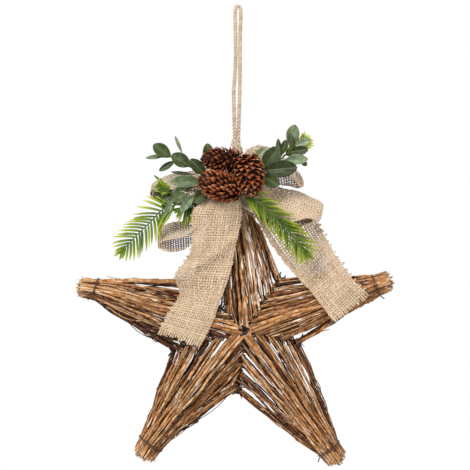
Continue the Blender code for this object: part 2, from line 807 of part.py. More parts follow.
def build():
    """Makes every piece and dresses it."""
    clear_scene()
    parts = make_collection(COLLECTION_NAME)
    bark = make_material("twig_bark", (0.33, 0.19, 0.10), 0.85)
    rod = make_material("frame_wire", (0.02, 0.02, 0.02), 0.5, 0.6)
    tie = make_material("tie_wire", (0.10, 0.05, 0.04), 0.6, 0.3)
    burlap = make_material("burlap", (0.50, 0.36, 0.24), 0.95)
    jute = make_material("jute", (0.62, 0.47, 0.33), 0.9)
    scales = make_material("pine_cone", (0.16, 0.055, 0.03), 0.6)
    leaves = make_material("leaf", (0.13, 0.20, 0.13), 0.6)
    needles = make_material("pine_needle", (0.12, 0.24, 0.04), 0.5)

    for index in range(len(ARMS)):
        for face in FACES:
            for side in SIDES:
                dress(twig_fan(index, side, face, parts), bark)
        dress(tip_tie(ARMS[index], parts), tie)
        dress(corner_tie(CORNERS[index], parts), tie)
    dress(wire_frame(parts), rod)
    dress(centre_tie(parts), tie)
    dress(hanging_cord(parts), jute)
    dress(cord_knot(parts), jute)
    dress(burlap_bow(parts), burlap)
    for cone in CONES:
        dress(pine_cone(cone, parts), scales, math.radians(20))
    dress(leaf_sprig("left_leaf_sprig", LEFT_STEMS, LEFT_LEAVES, parts), leaves)
    dress(leaf_sprig("right_leaf_sprig", RIGHT_STEMS, RIGHT_LEAVES, parts), leaves)
    for sprig in PINE_SPRIGS:
        dress(pine_sprig(sprig, parts), needles)


build()
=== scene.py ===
"""Twig star wall decoration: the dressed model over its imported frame.

Metres, +Z up, the front faces -Y, and the origin is the inside top of the hanging loop. Every
surface is worked out with numpy as whole arrays: a tube carried along a path, or a function of two
parameters on a grid.
"""

import logging
import math
from collections.abc import Callable, Sequence
from dataclasses import dataclass, field, replace
from enum import Enum
from functools import cached_property

import bpy
import numpy as np
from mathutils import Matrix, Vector


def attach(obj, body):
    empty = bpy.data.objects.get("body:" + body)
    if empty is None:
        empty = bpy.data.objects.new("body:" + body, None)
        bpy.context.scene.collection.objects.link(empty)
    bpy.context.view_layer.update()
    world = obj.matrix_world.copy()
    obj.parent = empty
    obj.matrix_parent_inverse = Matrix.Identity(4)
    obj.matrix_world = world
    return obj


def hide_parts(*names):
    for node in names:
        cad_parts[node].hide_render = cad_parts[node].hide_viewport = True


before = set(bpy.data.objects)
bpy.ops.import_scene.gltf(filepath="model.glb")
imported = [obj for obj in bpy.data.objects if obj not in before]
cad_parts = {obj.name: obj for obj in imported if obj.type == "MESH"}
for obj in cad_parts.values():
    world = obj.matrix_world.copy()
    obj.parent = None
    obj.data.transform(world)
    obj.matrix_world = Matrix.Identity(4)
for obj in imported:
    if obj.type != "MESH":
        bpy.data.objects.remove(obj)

log = logging.getLogger("twig_star")
Array = np.ndarray
Chance = np.random.Generator
Material = bpy.types.Material
Socket = bpy.types.NodeSocket
Feed = Socket | float | tuple
SurfaceOf = Callable[[Array, Array], Array]

# Sizes shared with the frame
STAR_REACH = 0.205
STAR_CENTRE = np.array((-0.002, 0.0, -0.408))
FRONT_PEAK = STAR_CENTRE + (0.01, -0.038, 0.006)
BACK_PEAK = STAR_CENTRE + (0.0, 0.034, 0.0)
CORNER_RADIUS = 0.08
CORNER_DEPTH = 0.007
TIE_SETBACK = 0.021
NECK_LENGTH = 0.006
BUNDLE_BORE = 0.0145
FRAME_RADIUS = 0.00125
FRAME_INSET = 0.008
FRAME_WELD = 0.0009
FRAME_CORE = 0.003
FRAME_OVERHANG = 0.0035
TWINE_RADIUS = 0.0023
KNOT_TOP = 0.1487
KNOT_MIDDLE = 0.173
KNOT_SHIFT = -0.0017
STRAND_SPREAD = 0.0027
SLING_SETBACK = 0.0115
SLING_RADIUS = 0.01717
BOW_SETBACK = 0.0165
PINCH_DEPTH = 0.02427
FRONT = np.array((0.0, -1.0, 0.0))
UP = np.array((0.0, 0.0, 1.0))

# Ends of a tube: the width of its chamfer and how far that stands out, as shares of the radius
CHAMFER_WIDTH = 0.8
CHAMFER_RISE = 0.15
# A way that no stem follows, to start its rings from
STEM_NORMAL = np.array((0.1, 1.0, 0.2))
GOLDEN_ANGLE = math.radians(137.508)
# Tenths of a millimetre in a metre
TENTHS = 10000.0


@dataclass(frozen=True)
class Spoke:
    """A direction in the plane of the star, clockwise degrees from up, and its share of the reach."""

    name: str
    bearing: float
    share: float

    def way(self) -> Array:
        """Unit vector along the spoke."""
        return bearing_vector(self.bearing)


ARMS = (
    Spoke("top", -1.9, 0.99),
    Spoke("right", 70.6, 1.0),
    Spoke("lower_right", 141.0, 1.0),
    Spoke("lower_left", 216.8, 0.95),
    Spoke("left", 286.0, 1.005),
)
CORNERS = (
    Spoke("upper_right", 38.3, 1.09),
    Spoke("right", 97.0, 0.985),
    Spoke("bottom", 180.0, 0.88),
    Spoke("left", 257.2, 1.02),
    Spoke("upper_left", 321.7, 1.04),
)


class Face(Enum):
    """The front or the back of the star, as the sign of its outward way along -Y."""

    FRONT = 1.0
    BACK = -1.0

    def outward(self) -> Array:
        """Unit vector out of this face."""
        return FRONT * self.value

    def peak(self) -> Array:
        """Middle of the star on this face, where its valleys meet."""
        return FRONT_PEAK if self is Face.FRONT else BACK_PEAK


class Side(Enum):
    """Which side of an arm's ridge, clockwise or not, seen from the front."""

    RIGHT = 1.0
    LEFT = -1.0


def bearing_vector(bearing: float) -> Array:
    """Unit vector in the plane of the star at a bearing in degrees."""
    angle = math.radians(bearing)
    return np.array((math.sin(angle), 0.0, math.cos(angle)))


def arm_point(arm: Spoke, setback: float) -> Array:
    """The point on an arm's axis that lies setback metres in from its end."""
    return STAR_CENTRE + arm.way() * (STAR_REACH * arm.share - setback)


def corner_point(corner: Spoke) -> Array:
    """The inner corner in the middle plane of the star."""
    return STAR_CENTRE + corner.way() * (CORNER_RADIUS * corner.share)


PINCH = arm_point(ARMS[0], BOW_SETBACK) + FRONT * PINCH_DEPTH

# Numpy surfaces


def unit(vectors: Array) -> Array:
    """Vectors divided by their lengths."""
    return vectors / np.maximum(np.linalg.norm(vectors, axis=-1, keepdims=True), 1e-12)


def flat(vector: Array) -> Array:
    """The vector without its depth."""
    return vector * (1.0, 0.0, 1.0)


def ease(value: Array) -> Array:
    """Smooth step: 3t^2 - 2t^3 between 0 and 1."""
    t = np.clip(value, 0.0, 1.0)
    return t * t * (3.0 - 2.0 * t)


@dataclass
class Shape:
    """Points, faces and the attributes that the finishes read, before they become a mesh."""

    points: Array
    faces: list[Array]
    grain: Array
    tint: Array
    mark: Array

    @staticmethod
    def joined(shapes: Sequence["Shape"]) -> "Shape":
        """One shape of several.

        Args:
            shapes: in the order in which their points are numbered.
        Returns:
            The shape of all their points, with renumbered faces.
        """
        shift = np.cumsum([0] + [len(s.points) for s in shapes[:-1]])
        faces = [f + n for s, n in zip(shapes, shift) for f in s.faces]
        points, grain, tint, mark = (
            np.concatenate([getattr(s, key) for s in shapes]) for key in ("points", "grain", "tint", "mark"))
        return Shape(points, faces, grain, tint, mark)

    def piece(self, name: str, material: Material, nodes: Sequence[str], slot: str) -> bpy.types.Object:
        """Makes the mesh object and hides the frame's nodes that it stands for.

        Args:
            name: the piece's name.
            material: its finish.
            nodes: the frame's nodes that it replaces.
            slot: the record's material slot; not used.
        Returns:
            The new object, at the origin.
        """
        mesh = bpy.data.meshes.new(name)
        corners = np.concatenate([f.ravel() for f in self.faces]).astype(np.int32)
        sizes = np.concatenate([np.full(len(f), f.shape[1]) for f in self.faces])
        mesh.vertices.add(len(self.points))
        mesh.vertices.foreach_set("co", self.points.astype(np.float32).ravel())
        mesh.loops.add(len(corners))
        mesh.loops.foreach_set("vertex_index", corners)
        mesh.polygons.add(len(sizes))
        mesh.polygons.foreach_set("loop_start", (np.cumsum(sizes) - sizes).astype(np.int32))
        mesh.update(calc_edges=True)
        for key, kind, part in (("grain", "FLOAT_VECTOR", "vector"), ("tint", "FLOAT", "value"),
                                ("mark", "FLOAT", "value")):
            values = getattr(self, key).astype(np.float32).ravel()
            mesh.attributes.new(key, kind, "POINT").data.foreach_set(part, values)
        mesh.shade_smooth()
        mesh.materials.append(material)
        made = bpy.data.objects.new(name, mesh)
        bpy.context.scene.collection.objects.link(made)
        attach(made, "root")
        if nodes:
            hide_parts(*nodes)
        log.info("%s: %d points, %d faces", name, len(self.points), len(sizes))
        return made


def tube_faces(tubes: int, rings: int, sides: int) -> list[Array]:
    """Quads between the rings of each tube and a fan over each end.

    Args:
        tubes: how many tubes are numbered one after another.
        rings: rings of points along each.
        sides: points round a ring.
    Returns:
        The quads and the triangles, facing outwards.
    """
    ring, side = np.arange(rings - 1)[:, None] * sides, np.arange(sides)[None, :]
    after = (side + 1) % sides
    quads = np.stack([ring + side, ring + after, ring + sides + after, ring + sides + side], -1)
    quads = quads.reshape(-1, 4)
    k, after = np.arange(sides), (np.arange(sides) + 1) % sides
    last = (rings - 1) * sides
    start = np.stack([np.full(sides, rings * sides), after, k], -1)
    end = np.stack([np.full(sides, rings * sides + 1), last + k, last + after], -1)
    shift = (np.arange(tubes) * (rings * sides + 2))[:, None, None]
    return [(quads + shift).reshape(-1, 4), (np.concatenate([start, end]) + shift).reshape(-1, 3)]


def sweep(
    paths: Array,
    radii: Array,
    sides: int,
    normals: Array,
    flatten: float = 1.0,
    tint: Array | float = 0.5,
    mark: Array | float = 0.0,
    cut: float = 0.0,
    offset: Array | float = 0.0,
) -> Shape:
    """Tubes carried along paths: ring = path + r (cos a * normal * flatten + sin a * side).

    Args:
        paths: (tubes, stations, 3) middles.
        radii: (tubes, stations) or (tubes, stations, sides).
        sides: points round the tube.
        normals: any vectors across the paths, broadcast to their shape.
        flatten: share of the radius along the normal.
        tint: one number a tube, or one a station.
        mark: one number a tube, or one a station.
        cut: mark on the chamfered ends.
        offset: how far along the grain each tube starts.
    Returns:
        The closed tubes as one shape.
    """
    tubes, stations = paths.shape[:2]
    along = unit(np.gradient(paths, axis=1))
    across = unit(np.cross(along, np.broadcast_to(normals, paths.shape)))
    normal = np.cross(across, along)
    radii = np.broadcast_to(radii if radii.ndim == 3 else radii[:, :, None], (tubes, stations, sides))
    angle = np.arange(sides) * (math.tau / sides)
    ring = (np.cos(angle)[:, None] * normal[:, :, None] * flatten
            + np.sin(angle)[:, None] * np.cross(along, normal)[:, :, None])
    body = paths[:, :, None] + ring * radii[..., None]
    caps = []
    for end, sign in ((0, -1.0), (-1, 1.0)):
        wide = radii[:, end, :, None]
        cap = paths[:, end, None] + ring[:, end] * wide * CHAMFER_WIDTH
        caps.append((cap + sign * along[:, end, None] * wide * CHAMFER_RISE)[:, None])
    rings = np.concatenate([caps[0], body, caps[1]], axis=1)
    poles = np.stack([cap.mean((1, 2)) for cap in caps], axis=1)
    points = np.concatenate([rings.reshape(tubes, -1, 3), poles], axis=1)
    steps = np.linalg.norm(np.diff(paths, axis=1), axis=2)
    run = np.concatenate([np.zeros((tubes, 1)), np.cumsum(steps, axis=1)], axis=1)
    run = run + np.reshape(offset, (-1, 1))
    run = np.concatenate([run[:, :1], run, run[:, -1:]], axis=1)
    mean = radii.mean()
    grain = np.empty((tubes, stations + 2, sides, 3))
    grain[..., 0], grain[..., 1] = np.cos(angle) * mean, np.sin(angle) * mean
    grain[..., 2] = run[:, :, None]
    ends = np.zeros((tubes, 2, 3))
    ends[:, 0, 2], ends[:, 1, 2] = run[:, 0], run[:, -1]
    marks = np.empty((tubes, stations + 2, sides))
    shown = np.asarray(mark, float)
    marks[:, 1:-1] = shown.reshape(-1, 1, 1) if shown.ndim < 2 else shown[:, :, None]
    marks[:, 0] = marks[:, -1] = cut if cut else marks[:, 1, :1]
    tips = np.stack([marks[:, 0, 0], marks[:, -1, 0]], axis=1)
    hue = np.asarray(tint, float)
    hue = np.broadcast_to(hue if hue.ndim == 2 else hue.reshape(-1, 1), (tubes, stations))
    hue = np.concatenate([hue[:, :1], hue, hue[:, -1:]], axis=1)
    tints = np.concatenate([np.repeat(hue, sides, axis=1), hue[:, :1], hue[:, -1:]], axis=1)
    return Shape(
        points.reshape(-1, 3),
        tube_faces(tubes, stations + 2, sides),
        np.concatenate([grain.reshape(tubes, -1, 3), ends], axis=1).reshape(-1, 3),
        tints.ravel(),
        np.concatenate([marks.reshape(tubes, -1), tips], axis=1).ravel(),
    )


def tenths(places: Sequence) -> Array:
    """Places given in tenths of a millimetre, in metres."""
    return np.array(places, float) / TENTHS


def run_of(line: Array) -> Array:
    """How far along a line each of its points lies."""
    return np.concatenate([[0.0], np.cumsum(np.linalg.norm(np.diff(line, axis=0), axis=1))])


def points_at(line: Array, run: Array, at: Array) -> Array:
    """Points of a line where its run has the values of at."""
    return np.stack([np.interp(at, run, line[:, k]) for k in range(3)], axis=-1)


def respaced(line: Array, count: int) -> Array:
    """A line of points again, evenly spaced along its length."""
    run = run_of(line)
    return points_at(line, run, np.linspace(0.0, run[-1], count))


def curve_through(places: Sequence, count: int) -> Array:
    """Catmull-Rom curve: b + ((c - a) t + (2a - 5b + 4c - d) t^2 + (3b - a - 3c + d) t^3) / 2 from b to c.

    Args:
        places: the points that it goes through.
        count: how many points are wanted.
    Returns:
        (count, 3) evenly spaced points.
    """
    given = np.array([places[0], *places, places[-1]], float)
    t = np.linspace(0.0, 1.0, 24, endpoint=False)[:, None, None]
    a, b, c, d = given[:-3], given[1:-2], given[2:-1], given[3:]
    fine = b + 0.5 * ((c - a) * t + (2 * a - 5 * b + 4 * c - d) * t**2 + (3 * b - a - 3 * c + d) * t**3)
    return respaced(np.concatenate([fine.transpose(1, 0, 2).reshape(-1, 3), given[-1:]]), count)


def line_length(line: Array) -> float:
    """Length of a line of points."""
    return float(np.linalg.norm(np.diff(line, axis=0), axis=1).sum())


def swung(angle: Array, first: Array, second: Array) -> Array:
    """One vector turned towards another: cos a first + sin a second."""
    return np.cos(angle)[..., None] * first + np.sin(angle)[..., None] * second


def grid(columns: int, rows: int) -> list[Array]:
    """A grid of a from -1 to 1 across and b from 0 to 1 along."""
    return np.meshgrid(np.linspace(-1.0, 1.0, columns), np.linspace(0.0, 1.0, rows), indexing="xy")


def skin_faces(columns: int, rows: int) -> list[Array]:
    """Faces of a closed skin over two grids of points that are numbered one after the other.

    Args:
        columns: points across each grid.
        rows: points along it.
    Returns:
        The upper side, the under side and the wall round the rim, as quads.
    """
    below = rows * columns
    i = (np.arange(rows - 1)[:, None] * columns + np.arange(columns - 1)).ravel()
    lid = np.stack([i, i + 1, i + columns + 1, i + columns], -1)
    rim = np.concatenate([
        np.arange(columns),
        np.arange(1, rows) * columns + columns - 1,
        (rows - 1) * columns + np.arange(columns - 2, -1, -1),
        np.arange(rows - 2, 0, -1) * columns,
    ])
    after = np.roll(rim, -1)
    return [lid, (lid + below)[:, ::-1], np.stack([rim, rim + below, after + below, after], -1)]


# Finishes


class Bench:
    """A material being put together from shader nodes."""

    def __init__(self, name: str) -> None:
        """Starts an empty material with a Principled surface.

        Args:
            name: the material's name.
        """
        self.material = bpy.data.materials.new(name)
        self.material.use_nodes = True
        self.tree = self.material.node_tree
        self.surface = self.tree.nodes["Principled BSDF"]

    def node(self, kind: str, inputs: dict | None = None, **settings: str | bool) -> bpy.types.Node:
        """Adds a node.

        Args:
            kind: the node's type.
            inputs: what each of its inputs gets, by name or place.
            settings: its own fields.
        Returns:
            The node.
        """
        made = self.tree.nodes.new(kind)
        for key, value in settings.items():
            setattr(made, key, value)
        for key, value in (inputs or {}).items():
            self.feed(made.inputs[key], value)
        return made

    def feed(self, socket: Socket, value: Feed) -> None:
        """Fills an input.

        Args:
            socket: the input.
            value: a number, colour or socket.
        """
        if isinstance(value, bpy.types.NodeSocket):
            self.tree.links.new(value, socket)
        elif isinstance(value, tuple) and len(value) == 3 and socket.type == "RGBA":
            socket.default_value = (*value, 1.0)
        else:
            socket.default_value = value

    @cached_property
    def grain(self) -> Socket:
        """Where a point lies on its own strand: two ways across and one along."""
        return self.node("ShaderNodeAttribute", attribute_name="grain").outputs["Vector"]

    @cached_property
    def tint(self) -> Socket:
        """How pale a strand is."""
        return self.node("ShaderNodeAttribute", attribute_name="tint").outputs["Fac"]

    @cached_property
    def mark(self) -> Socket:
        """A cut end or bare patch on a strand, or the way from foot to rim on a scale or needle."""
        return self.node("ShaderNodeAttribute", attribute_name="mark").outputs["Fac"]

    def stretched(self, vector: Socket, scale: tuple) -> Socket:
        """Scales a vector along its three ways."""
        return self.node("ShaderNodeVectorMath", {0: vector, 1: scale}, operation="MULTIPLY").outputs[0]

    def noise(self, vector: Socket, scale: float, detail: float = 3.0, rough: float = 0.55) -> Socket:
        """Fractal noise from 0 to 1."""
        inputs = {"Vector": vector, "Scale": scale, "Detail": detail, "Roughness": rough}
        return self.node("ShaderNodeTexNoise", inputs).outputs["Fac"]

    def fibre(self, scale: tuple, detail: float = 3.0, rough: float = 0.55) -> Socket:
        """Fractal noise over the piece's own grain, scaled along its three ways."""
        return self.noise(self.stretched(self.grain, scale), 1.0, detail, rough)

    def cells(self, vector: Socket, scale: float) -> Socket:
        """Distance to the nearest of scattered points."""
        return self.node("ShaderNodeTexVoronoi", {"Vector": vector, "Scale": scale}).outputs["Distance"]

    def band(self, value: Socket, low: float, high: float, out: tuple = (0.0, 1.0)) -> Socket:
        """Maps low..high smoothly to the two numbers of out."""
        inputs = {"Value": value, "From Min": low, "From Max": high, "To Min": out[0], "To Max": out[1]}
        return self.node("ShaderNodeMapRange", inputs, interpolation_type="SMOOTHSTEP").outputs["Result"]

    def sum(self, kind: str, a: Feed, b: Feed) -> Socket:
        """Arithmetic on two numbers or sockets."""
        return self.node("ShaderNodeMath", {0: a, 1: b}, operation=kind).outputs[0]

    def blend(self, share: Feed, a: Feed, b: Feed) -> Socket:
        """Mixes two colours."""
        inputs = {0: share, 6: a, 7: b}
        return self.node("ShaderNodeMix", inputs, data_type="RGBA", blend_type="MIX").outputs[2]

    def ramp(self, value: Socket, stops: Sequence[tuple]) -> Socket:
        """Colours along a value.

        Args:
            value: from 0 to 1.
            stops: (place, colour) pairs.
        Returns:
            The colour.
        """
        made = self.node("ShaderNodeValToRGB", {"Fac": value})
        elements = made.color_ramp.elements
        while len(elements) < len(stops):
            elements.new(0.5)
        for element, (place, colour) in zip(elements, stops):
            element.position = place
            element.color = (*colour, 1.0)
        return made.outputs["Color"]

    def finish(self, colour: Feed, rough: Feed, height: Socket | None = None, depth: float = 0.0002,
               **fixed: float) -> Material:
        """Feeds the surface and gives the material.

        Args:
            colour: base colour.
            rough: roughness.
            height: relief from 0 to 1, if any.
            depth: the relief's depth in metres.
            fixed: constants for the surface's own sockets, with _ for a space.
        Returns:
            The material.
        """
        self.feed(self.surface.inputs["Base Color"], colour)
        self.feed(self.surface.inputs["Roughness"], rough)
        if height is not None:
            bump = self.node("ShaderNodeBump", {"Height": height, "Strength": 1.0, "Distance": depth})
            self.feed(self.surface.inputs["Normal"], bump.outputs[0])
        for key, value in fixed.items():
            self.surface.inputs[key.replace("_", " ")].default_value = value
        return self.material


@dataclass(frozen=True)
class TwigBark:
    """Dry bark: streaked along the twig, blotched, with pale peeled patches and cut ends."""

    dark: tuple = (0.03, 0.011, 0.005)
    red: tuple = (0.15, 0.05, 0.018)
    brown: tuple = (0.37, 0.152, 0.046)
    tan: tuple = (0.57, 0.3, 0.122)
    straw: tuple = (0.7, 0.49, 0.32)
    wood: tuple = (0.86, 0.73, 0.56)

    def make(self) -> Material:
        """Builds the bark from the twig's own grain, tint and mark.

        Returns:
            The material.
        """
        b = Bench("twig_bark")
        streak = b.fibre((900.0, 900.0, 45.0), 5.0, 0.65)
        blotch = b.fibre((300.0, 300.0, 150.0), 4.0, 0.65)
        tone = b.sum("ADD", b.tint, b.band(blotch, 0.3, 0.7, (-0.3, 0.2)))
        base = b.ramp(tone, [(0.0, self.dark), (0.22, self.red), (0.48, self.brown), (0.74, self.tan),
                             (1.0, self.straw)])
        base = b.blend(b.band(streak, 0.36, 0.55, (0.84, 0.0)), base, self.dark)
        base = b.blend(b.band(streak, 0.62, 0.78, (0.0, 0.35)), base, self.straw)
        # Pale flecks: partly flaking bark, partly painted glints.
        fleck_and_glint = b.fibre((1300.0, 1300.0, 500.0), 2.0, 0.5)
        base = b.blend(b.band(fleck_and_glint, 0.68, 0.76, (0.0, 0.65)), base, self.wood)
        peel = b.fibre((210.0, 210.0, 22.0), 2.0, 0.4)
        worn = b.sum("MAXIMUM", b.band(peel, 0.68, 0.715), b.mark)
        base = b.blend(worn, base, self.wood)
        dots = b.cells(b.stretched(b.grain, (1100.0, 1100.0, 480.0)), 1.0)
        relief = b.sum("ADD", b.sum("MULTIPLY", streak, 0.7), b.band(dots, 0.05, 0.35, (0.35, 0.0)))
        rough = b.band(streak, 0.3, 0.8, (0.85, 0.6))
        return b.finish(base, rough, relief, 0.0007, Specular_IOR_Level=0.22)


@dataclass(frozen=True)
class Wire:
    """Drawn wire with a worn coat."""

    name: str
    coat: tuple
    worn: tuple
    metal: float

    def make(self) -> Material:
        """Builds the coat with rubbed patches.

        Returns:
            The material.
        """
        b = Bench(self.name)
        place = b.node("ShaderNodeTexCoord").outputs["Object"]
        rub = b.noise(place, 260.0, 4.0)
        colour = b.blend(b.band(rub, 0.5, 0.72, (0.0, 0.7)), self.coat, self.worn)
        return b.finish(colour, b.band(rub, 0.3, 0.7, (0.35, 0.6)), rub, 0.0001, Metallic=self.metal)


@dataclass(frozen=True)
class Yarn:
    """Spun plant fibre: fine slanting hairs along the yarn, paler and darker lengths."""

    name: str
    pale: tuple
    mid: tuple
    dark: tuple
    slant: float
    depth: float

    def make(self) -> Material:
        """Builds the yarn from its own grain and tint.

        Returns:
            The material.
        """
        b = Bench(self.name)
        split = b.node("ShaderNodeSeparateXYZ", {0: b.grain}).outputs
        turn = b.sum("ARCTAN2", split[1], split[0])
        lay = b.sum("ADD", b.sum("MULTIPLY", turn, 3.0), b.sum("MULTIPLY", split[2], self.slant))
        hairs = b.fibre((1500.0, 1500.0, 260.0), 4.0, 0.7)
        wave = b.sum("SINE", b.sum("ADD", lay, b.sum("MULTIPLY", hairs, 5.0)), 0.0)
        length = b.fibre((90.0, 90.0, 70.0), 2.0)
        base = b.ramp(b.sum("ADD", b.tint, b.band(length, 0.3, 0.7, (-0.22, 0.22))),
                      [(0.0, self.dark), (0.5, self.mid), (1.0, self.pale)])
        base = b.blend(b.band(wave, -1.0, 0.2, (0.38, 0.0)), base, self.dark)
        base = b.blend(b.band(hairs, 0.62, 0.8, (0.0, 0.5)), base, self.pale)
        base = b.blend(b.mark, base, self.dark)
        relief = b.sum("ADD", b.sum("MULTIPLY", wave, 0.3), hairs)
        return b.finish(base, 0.92, relief, self.depth, Sheen_Weight=0.25, Sheen_Roughness=0.5)


ROD = Wire("black_rod", (0.012, 0.011, 0.011), (0.05, 0.045, 0.04), 0.3)
TIE = Wire("binding_wire", (0.07, 0.026, 0.02), (0.17, 0.08, 0.055), 0.4)
JUTE = Yarn("jute_twine", (0.78, 0.66, 0.5), (0.58, 0.44, 0.3), (0.27, 0.175, 0.105), 700.0, 0.0006)
BURLAP = Yarn("burlap_yarn", (0.75, 0.59, 0.415), (0.55, 0.395, 0.252), (0.29, 0.18, 0.098), 900.0, 0.0004)


@dataclass(frozen=True)
class ConeWood:
    """Pine cone scale: near black in the throat as painted shade deep between the scales, red brown above,
    orange at the rim, a pale point.
    """

    # The throat colour is painted shade deep between the scales.
    throat_shade: tuple = (0.012, 0.0032, 0.0012)
    red: tuple = (0.08, 0.016, 0.006)
    rim: tuple = (0.29, 0.074, 0.019)
    point: tuple = (0.52, 0.31, 0.19)

    def make(self) -> Material:
        """Builds the scale from its mark, which runs from foot to rim.

        Returns:
            The material.
        """
        b = Bench("pine_cone")
        fibre = b.fibre((2200.0, 420.0, 2200.0), 4.0, 0.6)
        run = b.sum("ADD", b.mark, b.band(fibre, 0.3, 0.7, (-0.1, 0.1)))
        run = b.sum("ADD", run, b.sum("MULTIPLY", b.tint, 0.38))
        base = b.ramp(run, [(0.0, self.throat_shade), (0.44, self.throat_shade), (0.74, self.red), (0.98, self.rim)])
        base = b.blend(b.band(run, 1.02, 1.3, (0.0, 0.8)), base, self.point)
        return b.finish(base, b.band(fibre, 0.2, 0.8, (0.62, 0.42)), fibre, 0.0003, Specular_IOR_Level=0.16)


@dataclass(frozen=True)
class LeafSkin:
    """Artificial leaf: green with a midrib and side veins, and a frosted bloom that comes and goes."""

    deep: tuple = (0.013, 0.0175, 0.003)
    green: tuple = (0.047, 0.071, 0.014)
    frost: tuple = (0.235, 0.3, 0.185)
    vein: tuple = (0.13, 0.18, 0.075)

    def make(self) -> Material:
        """Builds the leaf: tint sets how dark or frosted it is, grain is (across, along, number).

        Returns:
            The material.
        """
        b = Bench("leaf")
        split = b.node("ShaderNodeSeparateXYZ", {0: b.grain}).outputs
        across = b.sum("ABSOLUTE", split[0], 0.0)
        bloom = b.fibre((220.0, 160.0, 40.0), 4.0, 0.6)
        fine = b.fibre((1500.0, 700.0, 40.0), 3.0)
        base = b.ramp(b.sum("ADD", b.tint, b.band(bloom, 0.3, 0.7, (-0.16, 0.16))),
                      [(0.0, self.deep), (0.4, self.green), (0.95, self.frost)])
        side = b.sum("SUBTRACT", b.sum("MULTIPLY", split[1], 1900.0), b.sum("MULTIPLY", across, 1500.0))
        side = b.sum("SINE", side, 0.0)
        rib = b.band(across, 0.00025, 0.0009, (1.0, 0.0))
        veins = b.sum("MAXIMUM", rib, b.band(side, 0.8, 1.0, (0.0, 0.45)))
        base = b.blend(b.sum("MULTIPLY", veins, 0.6), base, self.vein)
        base = b.blend(b.band(fine, 0.6, 0.85, (0.0, 0.16)), base, self.frost)
        relief = b.sum("SUBTRACT", b.sum("MULTIPLY", fine, 0.3), b.sum("MULTIPLY", veins, 0.5))
        return b.finish(base, b.band(bloom, 0.3, 0.7, (0.6, 0.4)), relief, 0.0004, Specular_IOR_Level=0.3)


@dataclass(frozen=True)
class NeedleSkin:
    """Moulded needle: green at the foot, yellow green at the tip, waxy."""

    foot: tuple = (0.042, 0.085, 0.003)
    middle: tuple = (0.175, 0.262, 0.008)
    tip: tuple = (0.52, 0.505, 0.035)
    stem: tuple = (0.07, 0.1, 0.014)

    def make(self) -> Material:
        """Builds the needle: mark runs from foot to tip, below 0 on the stem.

        Returns:
            The material.
        """
        b = Bench("pine_needle")
        mottle = b.fibre((900.0, 900.0, 160.0), 3.0)
        run = b.sum("ADD", b.mark, b.sum("MULTIPLY", b.sum("SUBTRACT", b.tint, 0.5), 0.6))
        base = b.ramp(b.sum("ADD", run, b.band(mottle, 0.3, 0.7, (-0.12, 0.12))),
                      [(0.0, self.foot), (0.5, self.middle), (1.0, self.tip)])
        base = b.blend(b.band(b.mark, -0.5, -0.2, (1.0, 0.0)), base, self.stem)
        return b.finish(base, 0.34, mottle, 0.0002, Specular_IOR_Level=0.32)


@dataclass(frozen=True)
class StagePaper:
    """Matt white stage paper."""

    shade: float = 0.9

    def make(self) -> Material:
        """Builds the paper with a faint tooth.

        Returns:
            The material.
        """
        b = Bench("stage_paper")
        tooth = b.noise(b.node("ShaderNodeTexCoord").outputs["Object"], 60.0)
        return b.finish((self.shade,) * 3, 0.9, tooth, 0.0002)


# Camera, light and stage


@dataclass(frozen=True)
class Lamp:
    """A square area lamp aimed a little above the star's middle."""

    name: str
    place: tuple
    size: float
    power: float
    colour: tuple
    aim_height: float = 0.1

    def build(self) -> None:
        """Makes the lamp."""
        light = bpy.data.lights.new(self.name, "AREA")
        light.size, light.energy, light.color = self.size, self.power, self.colour
        holder = bpy.data.objects.new(self.name, light)
        aim = Vector(STAR_CENTRE) + Vector((0.0, 0.0, self.aim_height)) - Vector(self.place)
        holder.location = self.place
        holder.rotation_euler = aim.to_track_quat("-Z", "Y").to_euler()
        bpy.context.scene.collection.objects.link(holder)


